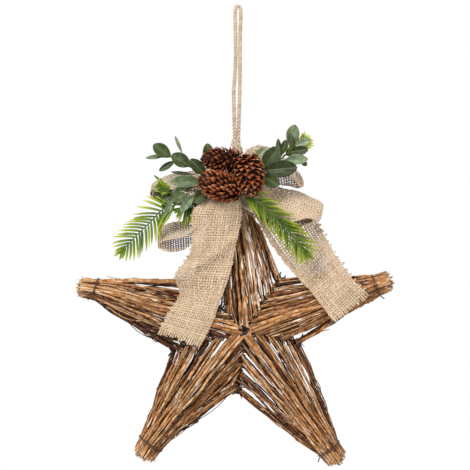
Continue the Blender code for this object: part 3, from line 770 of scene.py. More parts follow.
@dataclass(frozen=True)
class Studio:
    """The camera at the photograph's place, soft light and a pale floor."""

    distance: float = 2.2
    middle: tuple = (-0.00375, -0.28375)
    view_width: float = 0.5875
    sensor: float = 36.0
    floor_height: float = -0.8
    floor_half: float = 1.6
    floor_cells: int = 8
    sky: float = 0.4
    lamps: tuple = (
        Lamp("key", (-0.9, -1.4, 1.0), 1.0, 46.0, (1.0, 0.985, 0.96)),
        Lamp("back", (0.7, 1.7, 0.5), 0.8, 16.0, (1.0, 1.0, 1.0)),
        Lamp("fill", (1.2, -1.4, 0.0), 0.9, 13.0, (0.97, 0.99, 1.0)),
    )

    def camera(self) -> None:
        """Looks level along +Y, with the photograph's width of view at the star's middle plane."""
        lens = bpy.data.cameras.new("camera")
        lens.sensor_width = self.sensor
        lens.lens = self.sensor * self.distance / self.view_width
        lens.dof.use_dof = False
        seat = bpy.data.objects.new("camera", lens)
        seat.location = (self.middle[0], -self.distance, self.middle[1])
        seat.rotation_euler = (math.pi / 2, 0.0, 0.0)
        bpy.context.scene.collection.objects.link(seat)
        bpy.context.scene.camera = seat

    def surround(self) -> None:
        """Lights the piece by a dimmed white sky that the camera sees as white."""
        world = bpy.data.worlds.new("surround")
        world.use_nodes = True
        nodes, links = world.node_tree.nodes, world.node_tree.links
        ground = nodes["Background"]
        ground.inputs["Color"].default_value = (1.0, 1.0, 1.0, 1.0)
        seen = nodes.new("ShaderNodeLightPath")
        level = nodes.new("ShaderNodeMapRange")
        level.inputs["To Min"].default_value = self.sky
        level.inputs["To Max"].default_value = 1.0
        links.new(seen.outputs["Is Camera Ray"], level.inputs["Value"])
        links.new(level.outputs["Result"], ground.inputs["Strength"])
        bpy.context.scene.world = world

    def floor(self, paper: Material) -> None:
        """A level sheet of paper below the star.

        Args:
            paper: its finish.
        """
        half, cells = self.floor_half, self.floor_cells
        u, v = np.meshgrid(*[np.linspace(-half, half, cells + 1)] * 2, indexing="ij")
        points = np.stack([u, v, np.full_like(u, self.floor_height)], -1).reshape(-1, 3)
        mesh = bpy.data.meshes.new("floor")
        a = (np.arange(cells)[:, None] * (cells + 1) + np.arange(cells)).ravel()
        faces = np.stack([a, a + cells + 1, a + cells + 2, a + 1], -1)
        mesh.from_pydata(points.tolist(), [], faces.tolist())
        mesh.materials.append(paper)
        floor = bpy.data.objects.new("floor", mesh)
        bpy.context.scene.collection.objects.link(floor)

    def build(self, paper: Material) -> None:
        """Sets the camera, the white surround, the lamps and the floor.

        Args:
            paper: the floor's finish.
        """
        self.camera()
        self.surround()
        for lamp in self.lamps:
            lamp.build()
        bpy.context.scene.view_settings.view_transform = "Standard"
        self.floor(paper)


# Twine


def plied(
    line: Array,
    normals: Array,
    radius: float,
    pitch: float,
    sides: int,
    rng: Chance,
    plies: int = 2,
    pale: float = 0.0,
) -> Shape:
    """Twisted twine: each ply is a helix, path = line + r/2 (cos p n + sin p b) with p = 2 pi s / pitch.

    Args:
        line: (stations, 3) middle of the twine, evenly spaced.
        normals: vectors across the line.
        radius: of the whole twine.
        pitch: length of one full twist.
        sides: points round a ply.
        rng: chance for uneven thickness.
        plies: how many.
        pale: how much paler than the rest of the twine.
    Returns:
        The plies as one shape.
    """
    along = unit(np.gradient(line, axis=0))
    side = unit(np.cross(along, normals))
    up = np.cross(side, along)
    step = line_length(line) / (len(line) - 1)
    phase = math.tau * np.arange(len(line)) * step / pitch
    angle = phase[None, :] + (np.arange(plies) * math.tau / plies)[:, None]
    helix = swung(angle, up, side)
    knots = rng.uniform(0.9, 1.1, (plies, max(4, len(line) // 9)))
    at = np.linspace(0.0, 1.0, len(line))
    uneven = np.stack([np.interp(at, np.linspace(0.0, 1.0, k.size), k) for k in knots])
    paths = line + helix * radius * 0.52
    return sweep(paths, uneven * radius * 0.64, sides, helix, tint=rng.uniform(0.35, 0.65, plies) + pale,
                 offset=rng.uniform(0.0, 1.0, plies))


def fuzz(line: Array, reach: float, count: int, length: float, radius: float, rng: Chance) -> Shape:
    """Loose hairs: from a point reach out from the line, path = root + l (t out + t^2 drift).

    Args:
        line: (stations, 3) middle of what carries the hairs.
        reach: how far out the hairs start.
        count: how many.
        length: of the longest.
        radius: of a hair.
        rng: chance.
    Returns:
        The hairs as one shape.
    """
    pick = rng.integers(1, len(line) - 1, count)
    along = unit(line[pick + 1] - line[pick - 1])
    out = unit(np.cross(along, rng.normal(size=(count, 3))))
    way = unit(out + along * rng.uniform(-1.2, 1.2, (count, 1)))
    drift = np.clip(rng.normal(scale=0.45, size=(count, 3)), -0.7, 0.7)
    drift = drift + along * rng.uniform(-0.6, 0.6, (count, 1))
    drift = drift - way * np.maximum((drift * way).sum(1, keepdims=True), 0.0)
    t = np.linspace(0.0, 1.0, 5)[None, :, None]
    size = (length * rng.uniform(0.3, 1.0, count) ** 1.5)[:, None, None]
    paths = (line[pick] + out * reach)[:, None] + size * (way[:, None] * t + drift[:, None] * t**2)
    radii = radius * (1.0 - 0.7 * t[..., 0]) * np.ones((count, 1))
    return sweep(paths, radii, 3, along[:, None], tint=rng.uniform(0.5, 1.0, count))


@dataclass(frozen=True)
class Twine:
    """The hanging loop of two-ply jute, its knot and the sling round the top point."""

    pitch: float = 0.0085
    stations: int = 560
    sides: int = 8
    hair: float = 0.0045
    loop_hair: float = 0.0019
    hair_radius: float = 0.00006
    knot_turns: float = 2.2
    seed: int = 7
    route: tuple = (
        (KNOT_SHIFT - STRAND_SPREAD, 0.0, -KNOT_TOP), (-0.0048, 0.0, -0.13), (-0.0053, 0.0, -0.105),
        (-0.0036, 0.0, -0.08), (-0.0028, 0.0, -0.055), (-0.0031, 0.0, -0.03),
        (-0.0035, 0.0, -0.01), (-0.003, 0.0, -0.0005), (0.0, 0.0, TWINE_RADIUS),
        (0.003, 0.0, -0.0005), (0.0035, 0.0, -0.01), (0.0029, 0.0, -0.03),
        (0.0026, 0.0, -0.055), (0.0024, 0.0, -0.08), (0.0022, 0.0, -0.105),
        (0.0014, 0.0, -0.13), (KNOT_SHIFT + STRAND_SPREAD, 0.0, -KNOT_TOP),
    )

    def knot_lines(self) -> list[tuple[Array, Array]]:
        """Lines of the knot: two necks with their legs, the wraps and the sling.

        The wraps are a coil that leans with the turn, z = top - 0.0105 a - 0.0042 cos(turn). The sling is a
        ring round the top point, waved along the arm by 0.0009 sin(3 b).

        Returns:
            Each line with the vectors across it.
        """
        lines = []
        top = ARMS[0]
        across = bearing_vector(top.bearing + 90.0)
        sling = arm_point(top, SLING_SETBACK)
        for side in (-1.0, 1.0):
            neck = [(KNOT_SHIFT + side * STRAND_SPREAD, 0.0, -KNOT_TOP - 0.0003),
                    (KNOT_SHIFT + side * STRAND_SPREAD * 0.85, 0.0, -0.157),
                    (KNOT_SHIFT + side * STRAND_SPREAD * 0.9, -0.001 * side, -0.168),
                    (KNOT_SHIFT + side * STRAND_SPREAD, 0.0, -0.179)]
            lines.append((curve_through(neck, 60), FRONT))
            shoulder = arm_point(top, -TWINE_RADIUS) + across * side * SLING_RADIUS * 0.92
            hip = sling + across * side * SLING_RADIUS
            leg = [(KNOT_SHIFT, 0.0005 * side, -0.178), (KNOT_SHIFT + side * 0.003, 0.0, -0.1845),
                   tuple(shoulder), tuple(hip)]
            lines.append((curve_through(leg, 70), FRONT))
        a = np.linspace(0.0, 1.0, 150)
        turn = a * math.tau * self.knot_turns + 2.6
        wide = 0.004 + 0.0014 * np.sin(np.pi * a)
        wrap = np.stack([KNOT_SHIFT + 0.0003 + wide * np.cos(turn), (wide - 0.0012) * np.sin(turn),
                         -0.169 - 0.0105 * a - 0.0042 * np.cos(turn)], axis=1)
        hub = np.array((KNOT_SHIFT, 0.0, -KNOT_MIDDLE))
        lines.append((wrap, unit((wrap - hub) * (1.0, 1.0, 0.0))))
        b = np.linspace(0.0, math.tau, 190)
        ring = sling + SLING_RADIUS * swung(b, across, FRONT)
        ring += top.way() * (0.0009 * np.sin(3.0 * b))[:, None]
        lines.append((ring, unit(ring - sling)))
        return lines

    def build(self, finish: Material) -> None:
        """Args:
            finish: the twine's material.
        """
        rng = np.random.default_rng(self.seed)
        lines = self.knot_lines()
        shapes = [plied(line, across, TWINE_RADIUS, self.pitch, self.sides, rng, pale=0.22)
                  for line, across in lines]
        shapes += [fuzz(line, TWINE_RADIUS * 0.8, 46, self.hair, self.hair_radius, rng) for line, _ in lines]
        knot = Shape.joined(shapes).piece("twine_knot_and_sling", finish, ["cord_knot"], "jute")
        line = curve_through(self.route, self.stations)
        loop = Shape.joined([
            plied(line, FRONT, TWINE_RADIUS, self.pitch, self.sides, rng),
            fuzz(line, TWINE_RADIUS * 0.85, 420, self.loop_hair, self.hair_radius, rng),
        ]).piece("hanging_loop", finish, ["hanging_cord"], "jute")
        line_length(line)


# Twigs


@dataclass(frozen=True)
class Layer:
    """One layer of twigs in a quarter of an arm.

    The twigs' radii lie between thin and thick. Depth is how far behind the face they end, bundle is their
    distance from the axis in the binding, stray is how far they leave their order, and tone is how pale
    they are; the deeper layers get lower tones as painted shade between the twigs.
    """

    count: int
    thin: float
    thick: float
    depth: tuple
    bundle: float
    stray: float
    tone: float


# Tone falls with depth on each face: the deeper layers are darker as painted shade between the twigs.
LAYERS = {
    Face.FRONT: (
        Layer(14, 0.00085, 0.00205, (-0.0008, 0.0016), 0.012, 0.07, 0.62),
        Layer(9, 0.00075, 0.0015, (0.0016, 0.0044), 0.0094, 0.1, 0.26),
        Layer(5, 0.00075, 0.0013, (0.0045, 0.0085), 0.0056, 0.14, 0.04),
        Layer(9, 0.00042, 0.0008, (-0.002, 0.0016), 0.0126, 0.2, 0.5),
    ),
    Face.BACK: (
        Layer(8, 0.0009, 0.0019, (-0.0004, 0.0014), 0.012, 0.08, 0.46),
        Layer(4, 0.0008, 0.0014, (0.002, 0.005), 0.0085, 0.12, 0.2),
        Layer(4, 0.00045, 0.0008, (-0.0014, 0.001), 0.0126, 0.22, 0.4),
    ),
}


@dataclass(frozen=True)
class Wisp:
    """One kind of fine strand on the twigs: how many, and the ranges of its length and radius."""

    count: int
    steps: int
    length: tuple
    radius: tuple
    taper: float
    sides: int

    def t(self) -> Array:
        """Shares along a strand, as (1, steps, 1)."""
        return np.linspace(0.0, 1.0, self.steps)[None, :, None]

    def lengths(self, rng: Chance) -> Array:
        """Lengths, as (count, 1, 1)."""
        return rng.uniform(*self.length, (self.count, 1, 1))

    def radii(self, rng: Chance) -> Array:
        """Radii at every step, as (count, steps): r (1 - taper t)."""
        return rng.uniform(*self.radius, (self.count, 1)) * (1.0 - self.taper * self.t()[..., 0])


TANGLE = Wisp(38, 9, (0.007, 0.02), (0.0005, 0.0013), 0.3, 6)
BACK_TANGLE = replace(TANGLE, count=14)
SHOOTS = Wisp(9, 14, (0.012, 0.036), (0.0006, 0.001), 0.55, 6)
FIBRES = Wisp(60, 8, (0.004, 0.02), (0.00012, 0.00034), 0.6, 4)
SPLINTERS = Wisp(46, 7, (0.002, 0.005), (0.00018, 0.00045), 0.6, 5)
FLAKES = Wisp(46, 6, (0.004, 0.011), (0.0006, 0.0011), 0.0, 6)
# Paths (twigs, stations, 3), radii (twigs) and tints (twigs)
Bundle = tuple[Array, Array, Array]


@dataclass(frozen=True)
class ArmTwigs:
    """One arm of the star: loose twigs from the bound tip to the valley lines, front and back."""

    index: int
    girth: float = 1.0
    right_bow: float = 0.002
    left_bow: float = 0.0025
    neck_shift: float = 0.0
    tone: float = 0.0
    fullness: float = 1.0
    stout_edge: float = 0.0
    stout_tint: float = 0.74
    stout_angle: float = 70.0
    right_gap: tuple = (0.0, 0.0)
    left_gap: tuple = (0.0, 0.0)
    # The right and left shade darken each side's twigs towards its inner corner: painted shade, strongest on
    # the sides that face down.
    right_painted_shade: float = 0.0
    left_painted_shade: float = 0.0
    stations: int = 44
    sides: int = 6
    ridge_bow: float = 0.0015
    ridge_twigs: int = 3
    ridge_pitch: float = 0.0031
    core_twigs: int = 9
    bent_twigs: int = 9
    crossing_twigs: int = 5
    root_strands: int = 10
    edge_share: float = 0.8
    node_gap: tuple = (0.02, 0.045)
    node_width: float = 0.0019
    pale_end: float = 0.0055
    kinks: int = 9
    kink: float = 0.001

    def arm(self) -> Spoke:
        """The arm's spoke."""
        return ARMS[self.index]

    def sideways(self) -> Array:
        """Unit vector across the arm, clockwise."""
        return bearing_vector(self.arm().bearing + 90.0)

    def valley(self, face: Face, side: Side) -> tuple[Array, Array]:
        """The ends of a valley's line on a face: the peak and the inner corner."""
        corner = CORNERS[self.index if side is Side.RIGHT else self.index - 1]
        return face.peak(), corner_point(corner) + face.outward() * CORNER_DEPTH

    def tip(self) -> Array:
        """The middle of the cut end, which follows the neck's shift in part."""
        return arm_point(self.arm(), -0.0015) + self.sideways() * self.neck_shift * 0.6

    def neck(self, offset: Array) -> Array:
        """Points in the bound neck, shifted with the bundle."""
        middle = arm_point(self.arm(), TIE_SETBACK + NECK_LENGTH * 0.3)
        return middle + self.sideways() * self.neck_shift + offset

    def crooked(self, b: Array, n: int, rng: Chance) -> Array:
        """Crooked growth: a shift at every node of the twig, joined by straight lengths.

        Args:
            b: (1, stations, 1) shares of the second leg.
            n: how many twigs.
            rng: chance.
        Returns:
            (n, stations, 3) shifts.
        """
        hat = np.clip(1.0 - np.abs(b[0] * (self.kinks - 1) - np.arange(self.kinks)), 0.0, 1.0)
        shift = rng.normal(scale=self.kink, size=(n, self.kinks, 3))
        shift = np.clip(shift, -0.0016, 0.0016) * (1.0, 0.6, 1.0)
        shift[:, 0], shift[:, -1] = 0.0, shift[:, -1] * 0.5
        return np.einsum("sk,nkc->nsc", hat, shift)

    def laid(self, end: Array, neck: Array, root: Array, bow: Array, rng: Chance,
             first_bow: Array | None = None, soft: float = 0.035) -> Array:
        """Paths from end by neck to root: two straight legs joined smoothly, a bow 4 b (1 - b) and nodes.

        Args:
            end: (n, 3) cut ends at the tip.
            neck: (n, 3) places in the binding.
            root: (n, 3) ends at the valley.
            bow: (n, 3) shift at mid length.
            rng: chance.
            first_bow: (n, 3) shift at the middle of the first leg, if it bends too.
            soft: how gradual the turn at the neck is, as a share of the length.
        Returns:
            (n, stations, 3) paths.
        """
        n = len(end)
        s = np.linspace(0.0, 1.0, self.stations)[None, :, None]
        legs = np.linalg.norm(neck - end, axis=1), np.linalg.norm(root - neck, axis=1)
        turn = (legs[0] / (legs[0] + legs[1]))[:, None, None]
        x = s - turn
        before, after = (x - np.sqrt(x * x + soft**2)) / 2.0, (x + np.sqrt(x * x + soft**2)) / 2.0
        path = neck[:, None] + (neck - end)[:, None] / turn * before
        path = path + (root - neck)[:, None] / (1 - turn) * after
        b = np.clip(x / (1.0 - turn), 0.0, 1.0)
        if first_bow is not None:
            a = np.clip(-x / turn, 0.0, 1.0)
            return path + bow[:, None] * 4.0 * b * (1.0 - b) + first_bow[:, None] * 4.0 * a * (1.0 - a)
        return path + bow[:, None] * 4.0 * b * (1.0 - b) + self.crooked(b, n, rng)

    def grown(self, bundle: Bundle, rng: Chance) -> Shape:
        """Twigs on their paths, knobbed at nodes and thinner to the tip, with pale cut ends.

        A node is exp(-(d / node width)^2), with d the way to its middle. The pale end fades as
        exp(-(s / pale end)^2), with s the way from the cut.

        Args:
            bundle: the twigs' paths, radii and tints.
            rng: chance.
        Returns:
            The twigs as one shape.
        """
        paths, base, tint = bundle
        n = len(paths)
        s = np.linspace(0.0, 1.0, self.stations)[None, :]
        total = np.linalg.norm(np.diff(paths, axis=1), axis=2).sum(1)[:, None]
        gap = rng.uniform(*self.node_gap, (n, 1))
        run = s * total + rng.uniform(0.0, 0.05, (n, 1))
        spin = rng.uniform(0.0, math.tau, (n, 1))
        node = np.exp(-(((run / gap) % 1.0 - 0.5) * gap / self.node_width) ** 2)
        rough = 1.0 + 0.05 * np.sin(run * 900.0 + spin) + rng.normal(scale=0.035, size=run.shape)
        a = np.arange(self.sides) * math.tau / self.sides
        bud = 1.0 + node[..., None] * (0.12 + 0.22 * np.cos(a - spin[..., None]))
        radii = (base[:, None] * (0.78 + 0.26 * s) * rough)[..., None] * bud
        across = unit(np.cross(self.arm().way(), np.array((0.31, 0.95, 0.0))))
        tint = tint[:, None] + (0.96 - tint[:, None]) * 0.75 * np.exp(-((s * total / self.pale_end) ** 2))
        return sweep(paths, radii, self.sides, across, tint=tint, cut=0.8, offset=rng.uniform(0.0, 3.0, n))

    def quarter(self, face: Face, side: Side, layer: Layer, rng: Chance) -> Bundle:
        """One layer of twigs in one quarter of the arm.

        They fan out of the bound bundle, where twig k stands at an angle of 2 to 90 degrees from the ridge,
        to the valley line, where it ends at 0.05 to 1 of the way from the peak to the corner. None ends in
        the side's gap. The layer's depth sets them back from the face.

        Args:
            face: front or back.
            side: right or left of the ridge.
            layer: which layer.
            rng: chance.
        Returns:
            The layer's twigs.
        """
        n = max(3, round(layer.count * self.fullness))
        share = np.clip((np.arange(n) + 0.5 + rng.uniform(-0.45, 0.45, n)) / n, 0.0, 1.0)
        angle = np.radians(2.0 + 88.0 * share)
        right = side is Side.RIGHT
        stout = right and layer is LAYERS[Face.FRONT][0] and self.stout_edge > 0.0
        if stout:
            angle[-1] = math.radians(self.stout_angle)
        out, across = face.outward(), self.sideways() * side.value
        ring = layer.bundle * self.girth * rng.uniform(0.9, 1.06, n)
        offset = swung(angle, out * 0.95, across) * ring[:, None]
        dome = 0.006 * (ring / 0.0125) ** 2 + rng.uniform(-0.003, 0.0045, n)
        end = self.tip() - self.arm().way() * dome[:, None] + offset * 0.93
        peak, foot = self.valley(face, side)
        place = np.clip(share + rng.normal(scale=layer.stray, size=n), 0.02, 1.0)
        low, high = self.right_gap if right else self.left_gap
        nearer = np.where(place > (low + high) / 2, high, low)
        place = np.where((place > low) & (place < high), nearer, place)
        at = (0.05 + 0.95 * place)[:, None]
        root = peak * (1.0 - at) + foot * at
        root -= out * (rng.uniform(*layer.depth, n) + 0.002 * place**3)[:, None]
        neck = self.neck(offset)
        root += unit(root - neck) * (rng.uniform(-0.007, 0.006, n) - 0.001)[:, None]
        bow = across * ((self.right_bow if right else self.left_bow) * np.sin(angle) ** 3)[:, None]
        bow = bow + out * (self.ridge_bow * np.cos(angle))[:, None] + rng.normal(scale=0.0008, size=(n, 3))
        base = layer.thin + (layer.thick - layer.thin) * rng.uniform(size=n) ** 1.5
        if stout:
            base[-1] = self.stout_edge
        # Painted shade: each side's twigs darken towards the inner corner.
        shade = (self.right_painted_shade if right else self.left_painted_shade) * place**1.5
        tint = np.clip(rng.normal(layer.tone + self.tone, 0.25, n) - shade, 0.02, 0.98)
        if stout:
            tint[-1] = self.stout_tint
            root[-1] += out * 0.0045
        return self.laid(end, neck, root, bow, rng), base, tint

    def ridge(self, face: Face, rng: Chance) -> Bundle:
        """The twigs that lie side by side along the ridge and end beside the peak.

        Args:
            face: front or back.
            rng: chance.
        Returns:
            The twigs of the ridge.
        """
        n = self.ridge_twigs
        lane = (np.arange(n) - (n - 1) / 2 + rng.uniform(-0.2, 0.2, n)) * self.ridge_pitch
        out = face.outward()
        offset = self.sideways() * lane[:, None] * 0.9 + out * 0.012 * self.girth
        end = self.tip() - self.arm().way() * rng.uniform(0.003, 0.008, n)[:, None] + offset * 0.95
        inward = unit(flat(self.neck(np.zeros(3)) - face.peak()))
        root = face.peak() + inward * rng.uniform(0.0045, 0.01, n)[:, None]
        root = root + self.sideways() * lane[:, None] - out * 0.001
        neck = self.neck(offset)
        bow = rng.normal(scale=0.001, size=(n, 3))
        tint = np.clip(rng.normal(0.72 + self.tone, 0.1, n), 0.05, 0.95)
        return self.laid(end, neck, root, bow, rng), rng.uniform(0.0014, 0.0022, n), tint

    def core(self, rng: Chance) -> Bundle:
        """The twigs in the middle of the bound bundle, laid out as a sunflower head: r sqrt((k + 0.3) / n).

        Args:
            rng: chance.
        Returns:
            The core's twigs.
        """
        n = self.core_twigs
        turn = rng.uniform(0.0, 6.28) + np.arange(n) * 2.4
        ring = 0.005 * self.girth * np.sqrt((np.arange(n) + 0.3) / n)[:, None]
        offset = swung(turn, self.sideways(), FRONT) * ring
        end = self.tip() - self.arm().way() * rng.uniform(0.0002, 0.0035, n)[:, None] + offset
        neck = self.neck(offset)
        root = neck - self.arm().way() * rng.uniform(0.02, 0.045, n)[:, None] + offset * 0.4
        tint = np.clip(rng.normal(0.45, 0.2, n), 0.05, 0.95)
        return self.laid(end, neck, root, np.zeros((n, 3)), rng), rng.uniform(0.0012, 0.0018, n), tint

    def crossing(self, rng: Chance) -> Bundle:
        """Thin pale twigs that wander over the others on the front.

        Args:
            rng: chance.
        Returns:
            The crossing twigs.
        """
        n = self.crossing_twigs
        side = rng.choice((-1.0, 1.0), n)
        angle = np.radians(rng.uniform(5.0, 75.0, n)) * side
        out = Face.FRONT.outward()
        start = self.neck(swung(angle, out * 0.98, self.sideways()) * 0.0132 * self.girth)
        at = rng.uniform(0.1, 0.85, n)[:, None]
        feet = np.stack([self.valley(Face.FRONT, Side.RIGHT if k > 0 else Side.LEFT)[1] for k in side])
        root = Face.FRONT.peak() * (1.0 - at) + feet * at + out * 0.0014
        start, root = start + (root - start) * rng.uniform(0.0, 0.35, n)[:, None], root
        bow = self.sideways() * rng.normal(scale=0.0042, size=n)[:, None]
        bow = bow + out * rng.uniform(0.001, 0.003, n)[:, None]
        paths = self.laid(start, start + (root - start) * 0.4, root, bow, rng, -bow * 0.6, 0.1)
        return paths, rng.uniform(0.00055, 0.00095, n), rng.uniform(0.55, 0.95, n)

    def round_corner(self, rng: Chance) -> Bundle:
        """Twigs down this arm's clockwise edge that bend round the inner corner and go on along the next arm.

        Args:
            rng: chance.
        Returns:
            The bent twigs.
        """
        n = self.bent_twigs
        following = TWIGS[(self.index + 1) % len(TWIGS)]
        corner = CORNERS[self.index]
        depth = rng.uniform(-0.0075, 0.0075, n)
        here, there = self.sideways(), -following.sideways()
        width = BUNDLE_BORE * self.edge_share
        start = self.neck(here * self.girth * width + FRONT * depth[:, None] * 0.8)
        far = following.neck(there * following.girth * width + FRONT * depth[:, None] * 0.8)
        turn = corner_point(corner) - corner.way() * rng.uniform(0.0018, 0.0085, n)[:, None]
        turn = turn + FRONT * depth[:, None]
        head, tail = rng.uniform(0.0, 0.75, n)[:, None], rng.uniform(0.25, 1.0, n)[:, None]
        start, far = start + (turn - start) * head, turn + (far - turn) * tail
        first = here * (self.right_bow * (1.0 - head) ** 2) + rng.normal(scale=0.0008, size=(n, 3))
        second = there * (following.left_bow * tail**2) + rng.normal(scale=0.0008, size=(n, 3))
        paths = self.laid(start, turn, far, second, rng, first, 0.026)
        return paths, rng.uniform(0.0007, 0.0015, n), np.clip(rng.normal(0.22, 0.16, n), 0.02, 0.8)

    def roots(self, rng: Chance) -> Shape:
        """Hair-thin roots that stand off the arm's two edges, from neck to corner with a bow 4 b (1 - b).

        Args:
            rng: chance.
        Returns:
            The roots as one shape.
        """
        n = self.root_strands
        side = np.where(np.arange(n) % 2 == 0, 1.0, -1.0)[:, None]
        out = self.sideways() * side
        start = self.neck(out * BUNDLE_BORE * self.edge_share + FRONT * rng.uniform(-0.004, 0.008, (n, 1)))
        corner = np.stack([corner_point(CORNERS[self.index if k > 0 else self.index - 1])
                           for k in side[:, 0]]) - out * 0.002
        head, tail = rng.uniform(0.0, 0.5, (n, 1)), rng.uniform(0.5, 1.0, (n, 1))
        start, foot = start + (corner - start) * head, start + (corner - start) * tail
        edge = np.maximum(np.where(side > 0.0, self.right_bow, self.left_bow), 0.0)
        bow = out * (edge + rng.uniform(0.0, 0.004, (n, 1))) + rng.normal(scale=0.0012, size=(n, 3))
        middle = start + (foot - start) * rng.uniform(0.3, 0.6, (n, 1))
        first_bow = out * rng.uniform(-0.001, 0.0028, (n, 1))
        paths = self.laid(start, middle, foot, bow, rng, first_bow, 0.12)
        radii = rng.uniform(0.0004, 0.0007, (n, 1)) * np.ones((1, self.stations))
        return sweep(paths, radii, 4, out[:, None], tint=rng.uniform(0.1, 0.5, n),
                     offset=rng.uniform(0.0, 3.0, n))

    def tangle(self, face: Face, kind: Wisp, rng: Chance) -> Shape:
        """Dark broken ends along the clockwise valley, their darkness partly painted shade: path = place + l
        ((t - 0.35) way + curl sin 4t).

        Args:
            face: front or back.
            kind: the sizes of the ends.
            rng: chance.
        Returns:
            The broken ends as one shape.
        """
        n, t = kind.count, kind.t()
        peak, foot = self.valley(face, Side.RIGHT)
        at = rng.uniform(0.05, 1.0, n)[:, None] ** 0.55
        place = peak * (1.0 - at) + foot * at - face.outward() * rng.uniform(0.0005, 0.006, n)[:, None]
        other = TWIGS[(self.index + 1) % len(TWIGS)].arm().way()
        follow = np.where(rng.uniform(size=(n, 1)) < 0.5, self.arm().way(), other)
        way = unit(follow + rng.normal(scale=0.45, size=(n, 3)) * (1.0, 0.35, 1.0))
        curl = unit(rng.normal(size=(n, 3)))[:, None] * 0.16
        path = place[:, None] + kind.lengths(rng) * (way[:, None] * (t - 0.35) + curl * np.sin(t * 4.0))
        # The low tints are partly the ends' own dark bark and partly painted shade in the valley.
        return sweep(path, kind.radii(rng), kind.sides, curl, tint=rng.uniform(0.0, 0.3, n), cut=0.25)

    def shoots(self, paths: Array, rng: Chance) -> Shape:
        """Thin side shoots: path = parent point + l (t along + 0.25 t^1.5 away + 0.07 sin 4t curl).

        Args:
            paths: the parent twigs.
            rng: chance.
        Returns:
            The shoots as one shape.
        """
        n, t = SHOOTS.count, SHOOTS.t()
        who = rng.integers(0, len(paths), n)
        at = rng.integers(int(self.stations * 0.35), int(self.stations * 0.85), n)
        start = paths[who, at]
        along = unit(paths[who, at] - paths[who, at + 3])
        away = unit(rng.normal(size=(n, 3)) * (1.0, 0.5, 1.0) + FRONT * 0.3)
        size = SHOOTS.lengths(rng)
        curl = unit(rng.normal(size=(n, 3)))[:, None] * np.sin(t * 4.0) * 0.07
        path = start[:, None] + size * (along[:, None] * t + away[:, None] * 0.25 * t**1.5 + curl)
        return sweep(path, SHOOTS.radii(rng), SHOOTS.sides, away[:, None], tint=rng.uniform(0.2, 0.7, n),
                     cut=1.0)

    def fibres(self, paths: Array, rng: Chance) -> Shape:
        """Torn bark fibres, pale: path = parent point + l (t along + 0.28 sin(k t) away), k from 1 to 4.

        Args:
            paths: the parent twigs.
            rng: chance.
        Returns:
            The fibres as one shape.
        """
        n, t = FIBRES.count, FIBRES.t()
        who = rng.integers(0, len(paths), n)
        at = rng.integers(2, self.stations - 4, n)
        start = paths[who, at] + FRONT * 0.0014
        along = unit(paths[who, at + 2] - paths[who, at]) * rng.choice((-1.0, 1.0), (n, 1))
        away = unit(rng.normal(size=(n, 3)) + FRONT * 0.6)
        size = FIBRES.lengths(rng)
        curl = np.sin(t * rng.uniform(1.0, 4.0, (n, 1, 1)))
        path = start[:, None] + size * (along[:, None] * t + away[:, None] * 0.28 * curl)
        return sweep(path, FIBRES.radii(rng), FIBRES.sides, away[:, None], tint=rng.uniform(0.5, 1.0, n),
                     mark=rng.uniform(0.2, 0.9, n))

    def frayed(self, paths: Array, rng: Chance) -> Shape:
        """Pale splinters at the cut ends of the tip: path = end + l (t out + t^2 drift).

        Args:
            paths: the twigs, of which those that start at the tip are used.
            rng: chance.
        Returns:
            The splinters as one shape.
        """
        reach = np.linalg.norm(paths[:, 0] - arm_point(self.arm(), 0.0), axis=1)
        paths = paths[reach < 0.022]
        n, t = SPLINTERS.count, SPLINTERS.t()
        who = rng.integers(0, len(paths), n)
        way = unit(self.arm().way() + rng.normal(scale=0.3, size=(n, 3)))
        drift = rng.normal(scale=0.45, size=(n, 1, 3))
        size = SPLINTERS.lengths(rng)
        start = paths[who, 0] - self.arm().way() * 0.002 + rng.normal(scale=0.0007, size=(n, 3))
        path = start[:, None] + size * (way[:, None] * t + drift * t**2)
        return sweep(path, SPLINTERS.radii(rng), SPLINTERS.sides, FRONT, tint=rng.uniform(0.6, 1.0, n),
                     mark=rng.uniform(0.3, 1.0, n))

    def flakes(self, paths: Array, rng: Chance) -> Shape:
        """Curled strips of bark lifting off: flat tubes, path = parent point + l (t along + 0.25 t^2 away).

        Args:
            paths: the parent twigs.
            rng: chance.
        Returns:
            The flakes as one shape.
        """
        n, t = FLAKES.count, FLAKES.t()
        who = rng.integers(0, len(paths), n)
        at = rng.integers(3, self.stations - 4, n)
        away = unit(rng.normal(scale=0.5, size=(n, 3)) + FRONT)
        start = paths[who, at] + away * 0.0013
        along = unit(paths[who, at + 2] - paths[who, at])
        path = start[:, None] + FLAKES.lengths(rng) * (along[:, None] * t + away[:, None] * 0.25 * t**2)
        radii = FLAKES.radii(rng) * np.sin(np.pi * (0.15 + 0.75 * t[..., 0]))
        return sweep(path, radii, FLAKES.sides, away[:, None], flatten=0.25, tint=rng.uniform(0.3, 1.0, n),
                     mark=rng.choice((0.0, 0.55), n))

    def build(self, finish: Material) -> None:
        """Makes the arm's twigs, shoots, fibres, splinters, flakes and roots as one piece.

        Args:
            finish: the twigs' material.
        """
        rng = np.random.default_rng(40 + self.index)
        made = [self.quarter(face, side, layer, rng) for face in Face for side in Side
                for layer in LAYERS[face]]
        made += [self.ridge(face, rng) for face in Face] + [self.round_corner(rng), self.crossing(rng)]
        paths, base, tint = (np.concatenate([m[k] for m in made]) for k in range(3))
        inner = np.random.default_rng(90 + self.index)
        shape = Shape.joined([
            self.grown((paths, base, tint), rng),
            self.tangle(Face.FRONT, TANGLE, rng),
            self.tangle(Face.BACK, BACK_TANGLE, rng),
            self.shoots(paths, rng),
            self.fibres(paths, rng),
            self.frayed(paths, rng),
            self.flakes(paths, rng),
            self.grown(self.core(inner), inner),
            self.roots(inner),
        ])
        name = self.arm().name
        nodes = [f"{name}_arm_{face.name}_{side.name}_twigs".lower() for face in Face for side in Side]
        shape.piece(f"{name}_arm_twigs", finish, nodes, "twig_bark")
